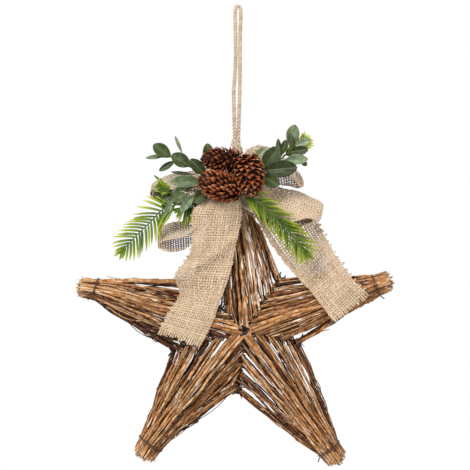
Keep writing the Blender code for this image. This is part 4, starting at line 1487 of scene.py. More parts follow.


# The negative tones of the lower right and left arms darken them all over as painted shade.
TWIGS = (
    ArmTwigs(0, tone=0.03, fullness=0.86, right_gap=(0.4, 0.5), left_gap=(0.36, 0.56),
             right_painted_shade=0.1, left_painted_shade=0.1),
    ArmTwigs(1, tone=-0.01, right_bow=0.0005, left_bow=0.0015, stout_edge=0.0023, stout_tint=0.46,
             stout_angle=80.0, right_gap=(0.72, 0.97), right_painted_shade=0.22),
    ArmTwigs(2, girth=1.12, fullness=0.88, tone=-0.07, right_bow=0.0005, left_bow=0.0028,
             right_gap=(0.46, 0.62), left_gap=(0.66, 0.78), right_painted_shade=0.14),
    ArmTwigs(3, girth=1.18, fullness=0.94, right_bow=0.0003, left_bow=-0.006, neck_shift=0.0045,
             right_gap=(0.48, 0.6), left_gap=(0.55, 0.64), left_painted_shade=0.16),
    ArmTwigs(4, girth=0.98, tone=-0.17, right_bow=0.0018, left_bow=0.0026, neck_shift=0.006,
             stout_edge=0.0031, right_gap=(0.68, 0.84), left_painted_shade=0.36),
)


# Wire


@dataclass(frozen=True)
class WireWork:
    """The black rods inside the star and the dark binding wire round its tips and joints."""

    sides: int = 10
    wire: float = 0.00042
    tip_turns: float = 2.3
    tip_spread: float = 0.0034
    corner_radius: float = 0.0031
    corner_turns: float = 4.0
    centre_radius: float = 0.0044
    centre_axes: tuple = ((0.0, -1.0, 0.0), (0.75, -0.6, 0.3), (-0.5, -0.5, 0.8))

    def rods(self) -> Shape:
        """Rods from each peak along the ridges and valleys, as the frame has them.

        Returns:
            The rods as one shape.
        """
        lines = []
        for face in Face:
            out = face.outward()
            hub = face.peak() - out * FRAME_INSET
            for arm in ARMS:
                tip = arm_point(arm, TIE_SETBACK / 2) + out * FRAME_WELD
                neck = arm_point(arm, TIE_SETBACK + NECK_LENGTH) + out * FRAME_CORE
                lines.append(respaced(np.array([tip, neck, hub]), 24))
            for corner in CORNERS:
                foot = corner_point(corner) + out * FRAME_WELD
                beyond = foot + corner.way() * FRAME_OVERHANG
                lines.append(respaced(np.array([hub, foot, beyond]), 24))
        paths = np.stack(lines)
        radii = np.full(paths.shape[:2], FRAME_RADIUS)
        return sweep(paths, radii, self.sides, np.array((0.2, 1.0, 0.1)))

    def coil(self, middle: Array, axis: Array, radius: float, turns: float, spread: float,
             rng: Chance, tail: float = 0.006, lean: float = 0.5) -> Shape:
        """A wound wire with twisted ends: middle + r (cos a n + sin a b) + spread (a / turns - 1/2) axis.

        Args:
            middle: of the coil.
            axis: through it.
            radius: of the wire's middle line.
            turns: how many.
            spread: length of the coil along its axis.
            rng: chance for loose turns.
            tail: length of the twisted ends.
            lean: how far they follow the axis, or run against it.
        Returns:
            The wire as a closed shape.
        """
        n = unit(np.cross(axis, np.array((0.3, 0.2, 0.9))))
        if abs(float(n @ FRONT)) < 0.2:
            n = unit(np.cross(axis, np.array((0.9, 0.1, -0.3))))
        b = np.cross(axis, n)
        a = np.linspace(0.0, turns * math.tau, int(turns * 22))
        loose = 1.0 + 0.03 * np.sin(a * 0.37 + rng.uniform(0.0, 6.0))
        tilt = 0.1 * spread * np.sin(a + rng.uniform(0.0, 6.0)) + rng.normal(scale=0.0001, size=a.size)
        along = spread * (a / a[-1] - 0.5) + tilt
        line = middle + radius * loose[:, None] * swung(a, n, b) + along[:, None] * axis
        out = unit(line - middle)
        shape = sweep(line[None], np.full((1, len(line)), self.wire), 7, out[None])
        foot = line[-1]
        way = unit(out[-1] * 0.8 + axis * lean + FRONT * 0.6)
        t = np.linspace(0.0, 1.0, 26)
        side = unit(np.cross(way, axis))
        twist = swung(t * math.tau * 3.0, side, np.cross(way, side))
        ends = np.stack([foot + way * tail * t[:, None] + twist * self.wire * 0.95 * k for k in (-1.0, 1.0)])
        return Shape.joined([shape, sweep(ends, np.full(ends.shape[:2], self.wire * 0.95), 6, side)])

    def build(self, rod: Material, tie: Material) -> None:
        """Makes the rods, five tip ties, five corner ties and the knot on the front peak.

        Args:
            rod: finish of the frame's rods.
            tie: finish of the binding wire.
        """
        rng = np.random.default_rng(5)
        self.rods().piece("frame_rods", rod, ["wire_frame"], "frame_wire")
        for twigs in TWIGS:
            arm = twigs.arm()
            middle = arm_point(arm, TIE_SETBACK) + twigs.sideways() * twigs.neck_shift
            bore = BUNDLE_BORE * twigs.girth
            shape = self.coil(middle, arm.way(), bore, self.tip_turns, self.tip_spread, rng)
            shape.piece(f"{arm.name}_tip_binding", tie, [f"{arm.name}_tip_tie"], "tie_wire")
        for corner in CORNERS:
            middle = corner_point(corner) + corner.way() * FRAME_OVERHANG / 2
            shape = self.coil(middle, corner.way(), self.corner_radius, self.corner_turns, 0.0042, rng,
                              0.005, -1.8)
            shape.piece(f"{corner.name}_corner_binding", tie, [f"{corner.name}_corner_tie"], "tie_wire")
        hub = FRONT_PEAK - FRONT * FRAME_INSET + FRONT * 0.0032
        loops = [self.coil(hub, unit(np.array(axis)), self.centre_radius, 2.5, 0.0022, rng, 0.005)
                 for axis in self.centre_axes]
        Shape.joined(loops).piece("centre_binding", tie, ["centre_tie"], "tie_wire")


# Burlap


def even(u: Array, v: Array) -> Array:
    """The same tone all over the cloth."""
    return np.zeros(np.broadcast(u, v).shape)


@dataclass(frozen=True)
class Weave:
    """Plain weave: each yarn rises and falls by h cos(pi (place / pitch + number)) over its neighbours."""

    pitch: float = 0.00315
    half_width: float = 0.00114
    half_thickness: float = 0.00028
    rise: float = 0.00036
    sides: int = 5
    wander: float = 0.00016

    def yarns(self, surface: SurfaceOf, cover: SurfaceOf, places: Array, stations: Array, lengthwise: bool,
              ends: tuple[Array, Array], rng: Chance, tone: SurfaceOf = even) -> Shape:
        """One set of yarns on a surface.

        Args:
            surface: place across and along, in metres, to a point.
            cover: place across and along to the share of the full yarn width.
            places: where each yarn lies in the other way.
            stations: where each is bent, along itself.
            lengthwise: whether the yarns run along the ribbon.
            ends: where each yarn starts and stops, along itself.
            rng: chance.
            tone: place across and along to how much paler the yarn is; on the bow's loops it carries their
                painted light and painted shade.
        Returns:
            The yarns as one shape.
        """
        n, m = len(places), len(stations)
        run = np.clip(stations[None, :], ends[0][:, None], ends[1][:, None])
        run = run + np.linspace(-1e-5, 1e-5, m)
        beat = np.pi * (stations[None, :] / self.pitch + np.arange(n)[:, None])
        sign = 1.0 if lengthwise else -1.0
        phase = rng.uniform(0.0, 6.28, (n, 1))
        sway = np.sin(stations[None, :] * 70.0 + phase)
        sway = sway + 0.6 * np.sin(stations[None, :] * 190.0 + 2 * phase)
        at = places[:, None] + self.wander * (sway + rng.normal(scale=0.6, size=(n, 1)))
        u, v = (at, run) if lengthwise else (run, at)
        e = 0.0004
        middle = surface(u, v)
        normal = unit(np.cross(surface(u + e, v) - surface(u - e, v), surface(u, v + e) - surface(u, v - e)))
        paths = middle + normal * (sign * self.rise * np.cos(beat))[..., None]
        slub = 1.0 + 0.12 * np.sin(stations[None, :] * 120.0 + 3 * phase)
        slub = slub + rng.normal(scale=0.05, size=(n, m))
        loose = np.clip((run - stations[None, :]) ** 2 * 2e5, 0.0, 0.6)
        width = self.half_width * cover(u, v) * slub * rng.uniform(0.88, 1.1, (n, 1)) * (1.0 - loose)
        # The tone adds the loops' painted light and painted shade to the yarns' tint.
        tint = np.clip(rng.normal(0.55, 0.1, (n, 1)) + tone(u, v), -0.6, 0.95)
        thin = self.half_thickness / self.half_width
        return sweep(paths, width, self.sides, normal, flatten=thin, tint=tint,
                     offset=rng.uniform(0.0, 3.0, n))

    def ribbon(self, surface: SurfaceOf, cover: SurfaceOf, width: float, length: float, rng: Chance,
               fringe: float = 0.0, tufts: tuple = (0.0, 0.0), tone: SurfaceOf = even) -> Shape:
        """The whole ribbon: warp and weft, with a fringe at a cut end and tufts along the sides.

        Args:
            surface: place across from -width/2 and along from 0 to a point.
            cover: share of the full yarn width over the ribbon.
            width: of the ribbon.
            length: of the ribbon.
            rng: chance.
            fringe: length of the loose warp ends at the far end, 0 if it isn't a cut one.
            tufts: how far the weft ends stand out at each side.
            tone: place across and along to how much paler the yarn is; on the bow's loops it carries their
                painted light and painted shade.
        Returns:
            The ribbon as one shape.
        """
        across = int(round(width / self.pitch))
        rows = int(round(length / self.pitch))
        warp = (np.arange(across) - (across - 1) / 2) * self.pitch
        weft = (np.arange(rows) + 0.5) * self.pitch
        loose = fringe * rng.uniform(0.15, 1.0, across)
        steps = np.arange(0.0, length + fringe + self.pitch / 2, self.pitch / 2)
        half = across * self.pitch / 2
        reach = half + max(tufts) + self.pitch / 2
        cross = np.arange(-reach, reach + 1e-6, self.pitch / 2)
        scallop = (0.5 + 0.5 * np.sin(weft * math.tau / 0.0082 + rng.uniform(0, 6))) ** 2
        start = -half - tufts[0] * scallop - rng.uniform(-0.0004, 0.001, rows)
        stop = half + tufts[1] * scallop + rng.uniform(-0.0004, 0.001, rows)
        if fringe:
            weft = weft[: rows - 1]
            start, stop = start[: rows - 1], stop[: rows - 1]
        return Shape.joined([
            self.yarns(surface, cover, warp, steps, True, (np.zeros(across), length + loose), rng, tone),
            self.yarns(surface, cover, weft, cross, False, (start, stop), rng, tone),
        ])


@dataclass(frozen=True)
class BowLoop:
    """A loop of ribbon: out from the gather, round its end and back beneath."""

    name: str
    bearing: float
    length: float
    fullness: float
    tilt: float
    end_tilt: float
    lean: float
    rise: float
    drop: float
    width: float
    seed: int
    open_share: float = 1.0
    inner_share: float = 1.0
    # Outer tone is painted light on the outer half against the shadows of the greenery; inner tone is painted
    # shade on the half beneath.
    outer_painted_light: float = 0.0
    inner_painted_shade: float = 0.0
    rounding: float = 0.0
    selvage: float = 1.0
    start: float = 0.07
    gather_length: float = 0.028
    gather_width: float = 0.016

    def at(self, t: Array) -> tuple[Array, Array]:
        """How far out and how full the middle line is: swell = sin^2(pi t), bulge = sin(2 pi t) swell."""
        swell = np.sin(np.pi * t) ** 2
        return self.length * swell, self.fullness / 2 * np.sin(math.tau * t) * swell / 0.65

    def surface(self) -> tuple[SurfaceOf, float]:
        """The loop's surface.

        The middle line goes out and back, and swells along the loop's own normal. The width leans back from
        the plane of the star by the tilt, with pleats near the gather and slow waves further out. Its two
        corners at the far end are drawn in by rounding (2 u / width)^4.

        Returns:
            The surface and its length.
        """
        t_of = np.linspace(self.start, 1.0 - self.start, 400)
        run, bulge = self.at(t_of)
        s_of = np.concatenate([[0.0], np.cumsum(np.hypot(np.diff(run), np.diff(bulge)))])
        out = bearing_vector(self.bearing)
        up = bearing_vector(self.bearing - 90.0 if self.bearing > 0 else self.bearing + 90.0)

        def place(u: Array, v: Array) -> Array:
            """The surface.

            Args:
                u: place across.
                v: place along.
            Returns:
                The points.
            """
            t = np.interp(v, s_of, t_of)
            run, bulge = self.at(t)
            freed = ease(run / self.gather_length)
            width = (self.gather_width + (self.width - self.gather_width) * freed) / self.width
            far = ease(run / self.length * 1.25 - 0.25)
            tilt = np.radians(self.tilt + (self.end_tilt - self.tilt) * far) * freed
            across = up * np.cos(tilt)[..., None] - FRONT * np.sin(tilt)[..., None]
            normal = up * np.sin(tilt)[..., None] + FRONT * np.cos(tilt)[..., None]
            pleat = np.sin(u / self.width * 2 * np.pi * 2.5 + self.seed) * 0.0022
            pleat = pleat * (1.0 - 0.9 * ease(run / 0.05))
            ripple = 0.0012 * np.sin(u * 85.0 + v * 50.0 + self.seed) + 0.0007 * np.sin(v * 130.0 - u * 60.0)
            x = np.clip(run / self.length, 0.0, 1.0)
            lift = (self.rise * np.sin(np.pi * x) - self.drop * ease(x / 0.7))[..., None] * up
            lean = FRONT * (self.lean * ease(run / self.length))[..., None]
            middle = PINCH + out * run[..., None] + lift - lean
            edge = np.clip(2.0 * np.abs(u) / self.width, 0.0, 1.0)
            corner = self.rounding * ease(x * 3.2 - 2.2) * edge**4
            middle = middle - out * corner[..., None]
            wide = u * width - np.sign(u) * corner
            return middle + across * wide[..., None] + normal * (bulge + pleat + ripple)[..., None]

        return place, float(s_of[-1])

    def cover(self, u: Array, v: Array) -> Array:
        """Cover of the outer half, its share that the half beneath has, and the closer selvages.

        Args:
            u: place across.
            v: place along.
        Returns:
            Share of the full yarn width.
        """
        _, length = self.surface()
        share = self.open_share * (1.0 + (self.inner_share - 1.0) * ease((v / length - 0.54) * 12.0))
        return share * (1.0 + (self.selvage - 1.0) * ease((np.abs(u) / (self.width / 2) - 0.8) * 8.0))

    def tone(self, u: Array, v: Array) -> Array:
        """Painted light on the outer half, and painted shade on the half that runs back beneath, as tones."""
        beneath = ease((v / self.surface()[1] - 0.54) * 12.0)
        return self.outer_painted_light + (self.inner_painted_shade - self.outer_painted_light) * beneath + even(u, v)


@dataclass(frozen=True)
class BowTail:
    """A hanging end of the ribbon between its two edges, each a curve through given places."""

    name: str
    rows: tuple
    width: float
    seed: int
    cover_start: float
    cover_end: float
    tufts: tuple
    folds: float
    fringe: float
    curl: float = 0.0
    pleats: float = 0.0022
    selvage: float = 1.12
    edge_points: int = 1200
    stations: int = 300

    def edge(self, places: Sequence[tuple]) -> Array:
        """One edge, spaced so that every row meets both edges at its own place.

        Args:
            places: the edge's point in each row.
        Returns:
            (stations, 3) points.
        """
        line = curve_through(places, self.edge_points)
        last = float(self.edge_points - 1)
        near = np.array([np.argmin(np.linalg.norm(line - np.array(p), axis=1)) for p in places]) / last
        rows = np.linspace(0.0, 1.0, len(places))
        at = np.interp(np.linspace(0.0, 1.0, self.stations), rows, near)
        return points_at(line, np.linspace(0, 1, self.edge_points), at)

    def surface(self) -> tuple[SurfaceOf, float]:
        """The tail's surface: straight from edge to edge, with a crown, a soft fold and waves.

        The fold is folds exp(-((v - 0.46 length + 0.9 u) / 11 mm)^2), with a lesser one behind it.

        Returns:
            The surface and its length.
        """
        a, b = self.edge([row[0] for row in self.rows]), self.edge([row[1] for row in self.rows])
        middle = (a + b) / 2
        run = run_of(middle)
        length = float(run[-1])

        def place(u: Array, v: Array) -> Array:
            """The surface.

            Args:
                u: place across.
                v: place along.
            Returns:
                The points.
            """
            first, last = points_at(a, run, v), points_at(b, run, v)
            beyond = np.maximum(v - length, 0.0)[..., None] * unit(middle[-1] - middle[-8])
            share = u / self.width
            s = (share + 0.5)[..., None]
            pleat = np.sin(share * 2 * np.pi * 2.0 + self.seed) * self.pleats * (1.0 - 0.9 * ease(v / 0.055))
            crown = 0.0022 * np.sin(3.0 * np.pi * v / length) * (1.0 - (2.0 * share) ** 2 * 1.5)
            fold = self.folds * np.exp(-(((v - length * 0.46) + (u * 0.9)) / 0.011) ** 2)
            fold = fold - 0.6 * self.folds * np.exp(-(((v - length * 0.62) + (u * 0.9)) / 0.013) ** 2)
            ripple = 0.001 * np.sin(u * 80.0 + v * 48.0 + self.seed) + 0.0006 * np.sin(v * 150.0 - u * 90.0)
            curled = self.curl * np.exp(-((share + 0.5) / 0.09) ** 2) * ease(v / length * 4.0 - 2.4)
            relief = crown + pleat + ripple + fold + curled
            return first * (1 - s) + last * s + beyond + FRONT * relief[..., None]

        return place, length

    def cover(self, u: Array, v: Array) -> Array:
        """Cover from the start's share to the end's, closer at both selvages, most so at the left one.

        Args:
            u: place across.
            v: place along.
        Returns:
            Share of the full yarn width.
        """
        length = self.surface()[1]
        share = self.cover_start + (self.cover_end - self.cover_start) * ease(v / length * 2.2 - 0.75)
        edge = ease((np.abs(u) / (self.width / 2) - 0.78) * 8.0)
        return share + (np.where(u < 0.0, self.selvage, 1.12) - share) * edge * 0.8


def tail_row(left: tuple, right: tuple) -> tuple:
    """A row of a tail from its two edge points, each (x, depth in front, z) in millimetres."""
    return tuple(tuple(v / 1000.0 for v in (x, -d, z)) for x, d, z in (left, right))


@dataclass(frozen=True)
class Bow:
    """The burlap bow: four loops and two tails round the gathered middle."""

    weave: Weave = field(default_factory=Weave)
    loops: tuple = (
        # In each loop the two numbers after the cover shares are its outer tone, painted light, and its inner
        # tone, painted shade.
        BowLoop("bow_upper_left_loop", -94.0, 0.1, 0.018, 42.0, 80.0, 0.006, 0.0, 0.0, 0.056, 1,
                1.02, 0.9, 0.1, -0.2),
        BowLoop("bow_lower_left_loop", -97.0, 0.098, 0.017, 66.0, 70.0, -0.004, 0.0, 0.0555, 0.05, 2,
                1.1, 0.58, 0.3, -0.85, selvage=1.18),
        BowLoop("bow_upper_right_loop", 83.0, 0.089, 0.016, 10.0, 72.0, 0.012, 0.024, 0.0065, 0.05, 3,
                0.8, 0.9, 0.12, -0.35, rounding=0.0065, selvage=1.35),
        BowLoop("bow_lower_right_loop", 106.0, 0.117, 0.014, 42.0, 48.0, -0.006, -0.0075, 0.003, 0.056, 4,
                1.12, 0.7, 0.2, -0.6, rounding=0.009),
    )
    tails: tuple = (
        BowTail("bow_left_tail", (
            tail_row((-24, 34, -226), (-2, 27, -226)),
            tail_row((-45, 50, -243), (3.5, 38, -243)),
            tail_row((-56, 56, -260), (4.3, 41, -262)),
            tail_row((-57, 47, -299), (-3.5, 41, -299)),
            tail_row((-65, 42, -316), (-7, 40, -318)),
            tail_row((-77, 43, -335), (-12, 39, -337)),
            tail_row((-71.5, 38, -356), (-21, 38, -362)),
            tail_row((-84, 37, -378), (-31, 38, -390)),
            tail_row((-97.5, 37, -402), (-45.5, 37, -419)),
        ), 0.06, 5, 1.03, 1.03, (0.0024, 0.0004), 0.0045, 0.0048, 0.003, 0.0009),
        BowTail("bow_right_tail", (
            tail_row((1, 26, -226), (9, 26, -221)),
            tail_row((14, 23, -240), (32, 24, -228)),
            tail_row((25.5, 21, -266), (65, 22, -240)),
            tail_row((36, 20, -286), (89, 22, -254)),
            tail_row((54, 21, -312), (101, 26, -276)),
            tail_row((75, 24, -337), (113, 31, -299)),
            tail_row((92, 28, -355), (130, 36, -324)),
            tail_row((106, 31, -374), (144, 37, -342)),
            tail_row((119, 32, -390), (160.5, 34, -357)),
        ), 0.053, 6, 0.72, 1.16, (0.0002, 0.0036), 0.0024, 0.0026, selvage=1.6),
    )

    def build(self, finish: Material) -> None:
        """Args:
            finish: the burlap's material.
        """
        for loop in self.loops:
            rng = np.random.default_rng(loop.seed)
            surface, length = loop.surface()
            # The loop's tone is its painted light and painted shade.
            cloth = self.weave.ribbon(surface, loop.cover, loop.width, length, rng, tone=loop.tone)
            piece = cloth.piece(loop.name, finish, ["burlap_bow"], "burlap")
        for tail in self.tails:
            rng = np.random.default_rng(tail.seed)
            surface, length = tail.surface()
            cloth = self.weave.ribbon(surface, tail.cover, tail.width, length, rng, tail.fringe, tail.tufts)
            piece = cloth.piece(tail.name, finish, ["burlap_bow"], "burlap")


# Cones


@dataclass(frozen=True)
class PineCone:
    """A pine cone: scales set round an egg-shaped core by the golden angle."""

    name: str
    middle: tuple
    length: float
    diameter: float
    tip: tuple
    tone: float
    seed: int
    scales: int = 92
    broad: float = 0.4
    open_angle: float = 20.0
    columns: int = 5
    rows: int = 6

    def template(self) -> tuple[Array, Array, list[Array]]:
        """One scale, foot at 0 and rim at y = 1: half width = broad sin(pi (0.12 + 0.74 b))^1.1.

        Its thickness grows to the rim as 0.03 + 0.085 b^2, and its face arches up as 0.26 b^3.

        Returns:
            Points (k, 3) as x across, y out and z up, marks (k) and faces.
        """
        a, b = grid(self.columns, self.rows)
        half = self.broad * np.sin(np.pi * (0.12 + 0.74 * b)) ** 1.1
        y = b - 0.14 * a**2 * b**2
        thick = (0.03 + 0.085 * b**2) * (1.0 - 0.7 * a**2)
        arch = 0.09 * (1.0 - a**2) * b - 0.1 * b + 0.26 * b**3
        top = np.stack([a * half, y, arch + thick], -1)
        under = np.stack([a * half, y * 0.985, arch - thick * 0.7], -1)
        points = np.concatenate([top.reshape(-1, 3), under.reshape(-1, 3)])
        return points, np.concatenate([b.ravel(), b.ravel() * 0.93]), skin_faces(self.columns, self.rows)

    def core(self) -> Shape:
        """The egg-shaped middle: girth = 0.31 d sqrt(1 - (2.14 z)^4).

        Returns:
            The core, along +Z.
        """
        z = np.linspace(-0.46, 0.46, 24)
        line = np.stack([np.zeros(24), np.zeros(24), z * self.length], -1)[None]
        girth = self.diameter * 0.31 * np.sqrt(np.clip(1.0 - (np.abs(z) * 2.14) ** 4.0, 0.01, 1.0))
        # Mark 0 gives the core the throat's painted shade.
        return sweep(line, girth[None], 16, np.array((1.0, 0.0, 0.0)), mark=0.0)

    def build(self, finish: Material) -> None:
        """Places the scales and the core, and makes the piece.

        Scale k of n stands at k golden angles and at the height (k / n)^0.92, and leans up more to the tip.

        Args:
            finish: the cone's material.
        """
        rng = np.random.default_rng(self.seed)
        points, mark, faces = self.template()
        n, k = self.scales, len(points)
        share = (np.arange(n) + 0.5) / n
        turn = np.arange(n) * GOLDEN_ANGLE + rng.normal(scale=0.07, size=n)
        height = -0.5 + share**0.92 + rng.normal(scale=0.01, size=n)
        radius = np.sqrt(np.clip(1.0 - (np.abs(height + 0.06) * 1.86) ** 2.4, 0.02, 1.0))
        lean = np.radians(self.open_angle + 62.0 * (share - 0.45) + rng.normal(scale=10.0, size=n))
        size = self.diameter * (0.15 + 0.17 * radius) * rng.uniform(0.8, 1.14, n)
        reach = radius * self.diameter / 2
        radial = np.stack([np.cos(turn), np.sin(turn), np.zeros(n)], -1)
        side = np.stack([-np.sin(turn), np.cos(turn), np.zeros(n)], -1)
        way = swung(lean, radial, UP)
        up = np.cross(way, side)
        up = np.where((up[:, 2:3] < 0), -up, up)
        foot = radial * (reach - size * np.cos(lean) * 0.98)[:, None]
        foot = foot + UP * (height * self.length * 0.94 - size * np.sin(lean) * 0.8)[:, None]
        roll = rng.normal(scale=0.16, size=(n, 1))
        side, up = side * np.cos(roll) + up * np.sin(roll), up * np.cos(roll) - side * np.sin(roll)
        basis = np.stack([side, way, up], axis=1)
        placed = foot[:, None] + np.einsum("ka,nab->nkb", points, basis) * size[:, None, None]
        shift = (np.arange(n) * k)[:, None, None]
        handed = np.linalg.det(basis[0]) > 0
        faces = [(f if handed else f[:, ::-1]) + shift for f in faces]
        tint = rng.uniform(-0.2, 1.0, n) * 0.75 + self.tone
        grain = points[None] * size[:, None, None] + rng.uniform(0, 1, (n, 1, 3))
        scales = Shape(placed.reshape(-1, 3), [f.reshape(-1, f.shape[2]) for f in faces],
                       grain.reshape(-1, 3), np.repeat(tint, k), np.tile(mark, n))
        shape = Shape.joined([scales, self.core()])
        axis = Vector(self.tip).normalized().to_track_quat("Z", "Y").to_matrix()
        shape.points = shape.points @ np.array(axis).T + np.array(self.middle)
        shape.piece(self.name + "_scales", finish, [self.name], "pine_cone")


# Leaves


@dataclass(frozen=True)
class LeafSprig:
    """A spray of artificial leaves on its stems, all places in tenths of a millimetre.

    Each leaf is (base, tip, width, tint, cup), with tint 0 for deep green and 1 for frosted.
    """

    name: str
    node: str
    stems: tuple
    leaves: tuple
    seed: int
    across: int = 11
    along: int = 25
    stem_radius: float = 0.0011
    stem_points: int = 30
    stalk_radius: float = 0.0006

    def blade(self, base: Array, tip: Array, width: float, tint: float, cup: float, number: int) -> Shape:
        """A leaf: half width = w/2 sin(pi b^1.15)^0.62, midrib fold |a|, cupped a^2, arched along its length.

        Args:
            base: its foot on the stem.
            tip: its end.
            width: at the widest.
            tint: 0 deep green, 1 frosted.
            cup: how far the sides and the tip bend forward.
            number: for the pattern's place.
        Returns:
            The closed blade.
        """
        a, b = grid(self.across, self.along)
        length = float(np.linalg.norm(tip - base))
        way = unit(tip - base)
        side = unit(np.cross(way, FRONT))
        face = np.cross(side, way)
        half = width / 2 * np.clip(np.sin(np.pi * b**1.15), 0.0, 1.0) ** 0.62
        half = np.maximum(half, 0.0007 * (1.0 - b))
        half = half * (1.0 + 0.02 * np.sin(b * 60.0 + number))
        lift = cup * width * (a**2 * 0.9 - 0.1) * np.sin(np.pi * b)
        lift = lift + width * 0.1 * np.abs(a) * np.sin(np.pi * b)
        arch = length * 0.1 * np.sin(np.pi * b * 0.9) * cup
        thick = 0.00032 * (1.0 - 0.75 * a**4) * np.clip(b * 8.0, 0.35, 1.0)
        middle = base + way * (length * b)[..., None] + side * (a * half)[..., None]
        middle = middle + face * (lift + arch)[..., None]
        top, under = middle + face * thick[..., None], middle - face * thick[..., None]
        points = np.concatenate([top.reshape(-1, 3), under.reshape(-1, 3)])
        grain = np.stack([a * half, b * length, np.full_like(a, number)], -1).reshape(-1, 3)
        count = len(points)
        return Shape(points, skin_faces(self.across, self.along), np.concatenate([grain, grain]),
                     np.full(count, tint), np.zeros(count))

    def stalk(self, base: Array, lines: list[Array]) -> Shape:
        """The short stalk from the nearest stem to a leaf's foot.

        Args:
            base: the leaf's foot.
            lines: the stems.
        Returns:
            The stalk.
        """
        joint = min(lines, key=lambda line: np.linalg.norm(line - base, axis=1).min())
        near = joint[max(0, int(np.argmin(np.linalg.norm(joint - base, axis=1))) - 3)]
        line = curve_through([near, (near * 0.4 + base * 0.6) + FRONT * 0.001, base], 10)
        return sweep(line[None], np.full((1, 10), self.stalk_radius), 6, STEM_NORMAL, tint=0.2)

    def build(self, finish: Material) -> None:
        """Makes the stems and their leaves.

        Args:
            finish: the leaves' material.
        """
        lines = [curve_through(tenths(stem), self.stem_points) for stem in self.stems]
        shapes = []
        for number, (base, tip, width, tint, cup) in enumerate(self.leaves):
            base, tip = tenths(base), tenths(tip)
            shapes.append(self.blade(base, tip, width / TENTHS, tint, cup, number + self.seed))
            shapes.append(self.stalk(base, lines))
        taper = np.linspace(1.0, 0.6, self.stem_points)[None].repeat(len(lines), 0)
        shapes.append(sweep(np.stack(lines), self.stem_radius * taper, 8, STEM_NORMAL, tint=0.1))
        Shape.joined(shapes).piece(self.name, finish, [self.node], "leaf")


LEFT_LEAVES = LeafSprig(
    "left_leaves", "left_leaf_sprig",
    (((-99, -265, -2059),
      (-355, -330, -2082),
      (-591, -350, -1999),
      (-828, -340, -1877),
      (-907, -330, -1859)),
     ((-99, -265, -2079),
      (-393, -400, -2212),
      (-608, -450, -2262),
      (-824, -440, -2321))),
    (
        ((-826, -340, -1877), (-1045, -360, -1725), 163, 0.38, 0.35),
        ((-887, -330, -1859), (-1139, -340, -1890), 56, 0.62, 0.1),
        ((-585, -360, -1989), (-817, -400, -1849), 175, 0.36, 0.22),
        ((-777, -330, -1927), (-972, -360, -2050), 81, 0.08, 0.2),
        ((-690, -320, -1827), (-777, -310, -1617), 45, 0.75, 0.1),
        ((-394, -380, -2100), (-589, -420, -1906), 150, 0.16, 0.25),
        ((-346, -300, -1967), (-380, -300, -1705), 140, 0.34, 0.25),
        ((-454, -440, -2176), (-826, -500, -2190), 150, 0.6, 0.25),
        ((-618, -460, -2274), (-800, -530, -2420), 180, 0.42, 0.22),
        ((-380, -460, -2287), (-537, -540, -2447), 150, 0.22, 0.25),
        ((-539, -480, -2349), (-708, -540, -2557), 106, 0.66, 0.3),
        ((-784, -460, -2348), (-911, -500, -2630), 69, 0.62, 0.3),
        ((-927, -410, -2287), (-1012, -450, -2408), 122, 0.12, 0.2),
        ((-835, -420, -2290), (-922, -470, -2451), 125, 0.28, 0.2),
        ((-840, -400, -2400), (-930, -420, -2500), 90, 0.04, 0.15),
        ((-861, -380, -2248), (-1037, -400, -2101), 32, 0.4, 0.05),
        ((-554, -360, -2093), (-825, -370, -2063), 45, 0.12, 0.1),
    ), 11)
RIGHT_LEAVES = LeafSprig(
    "right_leaves", "right_leaf_sprig",
    (((-40, -265, -2050),
      (275, -340, -2033),
      (492, -330, -1924),
      (650, -320, -1795)),
     ((-40, -265, -2069),
      (235, -380, -2093),
      (392, -410, -2065))),
    (
        ((300, -380, -2034), (504, -440, -1753), 205, 0.2, 0.22),
        ((640, -320, -1741), (701, -330, -1477), 165, 0.58, 0.22),
        ((682, -350, -1755), (644, -370, -1602), 55, 0.06, 0.1),
        ((516, -340, -1902), (491, -350, -1650), 70, 0.05, 0.1),
        ((535, -340, -1853), (590, -360, -1664), 88, 0.06, 0.1),
        ((639, -360, -1817), (864, -400, -1788), 120, 0.1, 0.2),
        ((577, -380, -1916), (858, -420, -1906), 130, 0.78, 0.25),
        ((330, -420, -2046), (727, -480, -2012), 215, 0.06, 0.2),
        ((289, -420, -2101), (494, -480, -2238), 170, 0.24, 0.22),
        ((208, -370, -1891), (338, -370, -1768), 105, 0.92, 0.2),
        ((695, -340, -1736), (897, -350, -1663), 102, 0.86, 0.2),
        ((775, -340, -1927), (849, -340, -1982), 63, 0.06, 0.1),
    ), 31)


# Pine sprigs


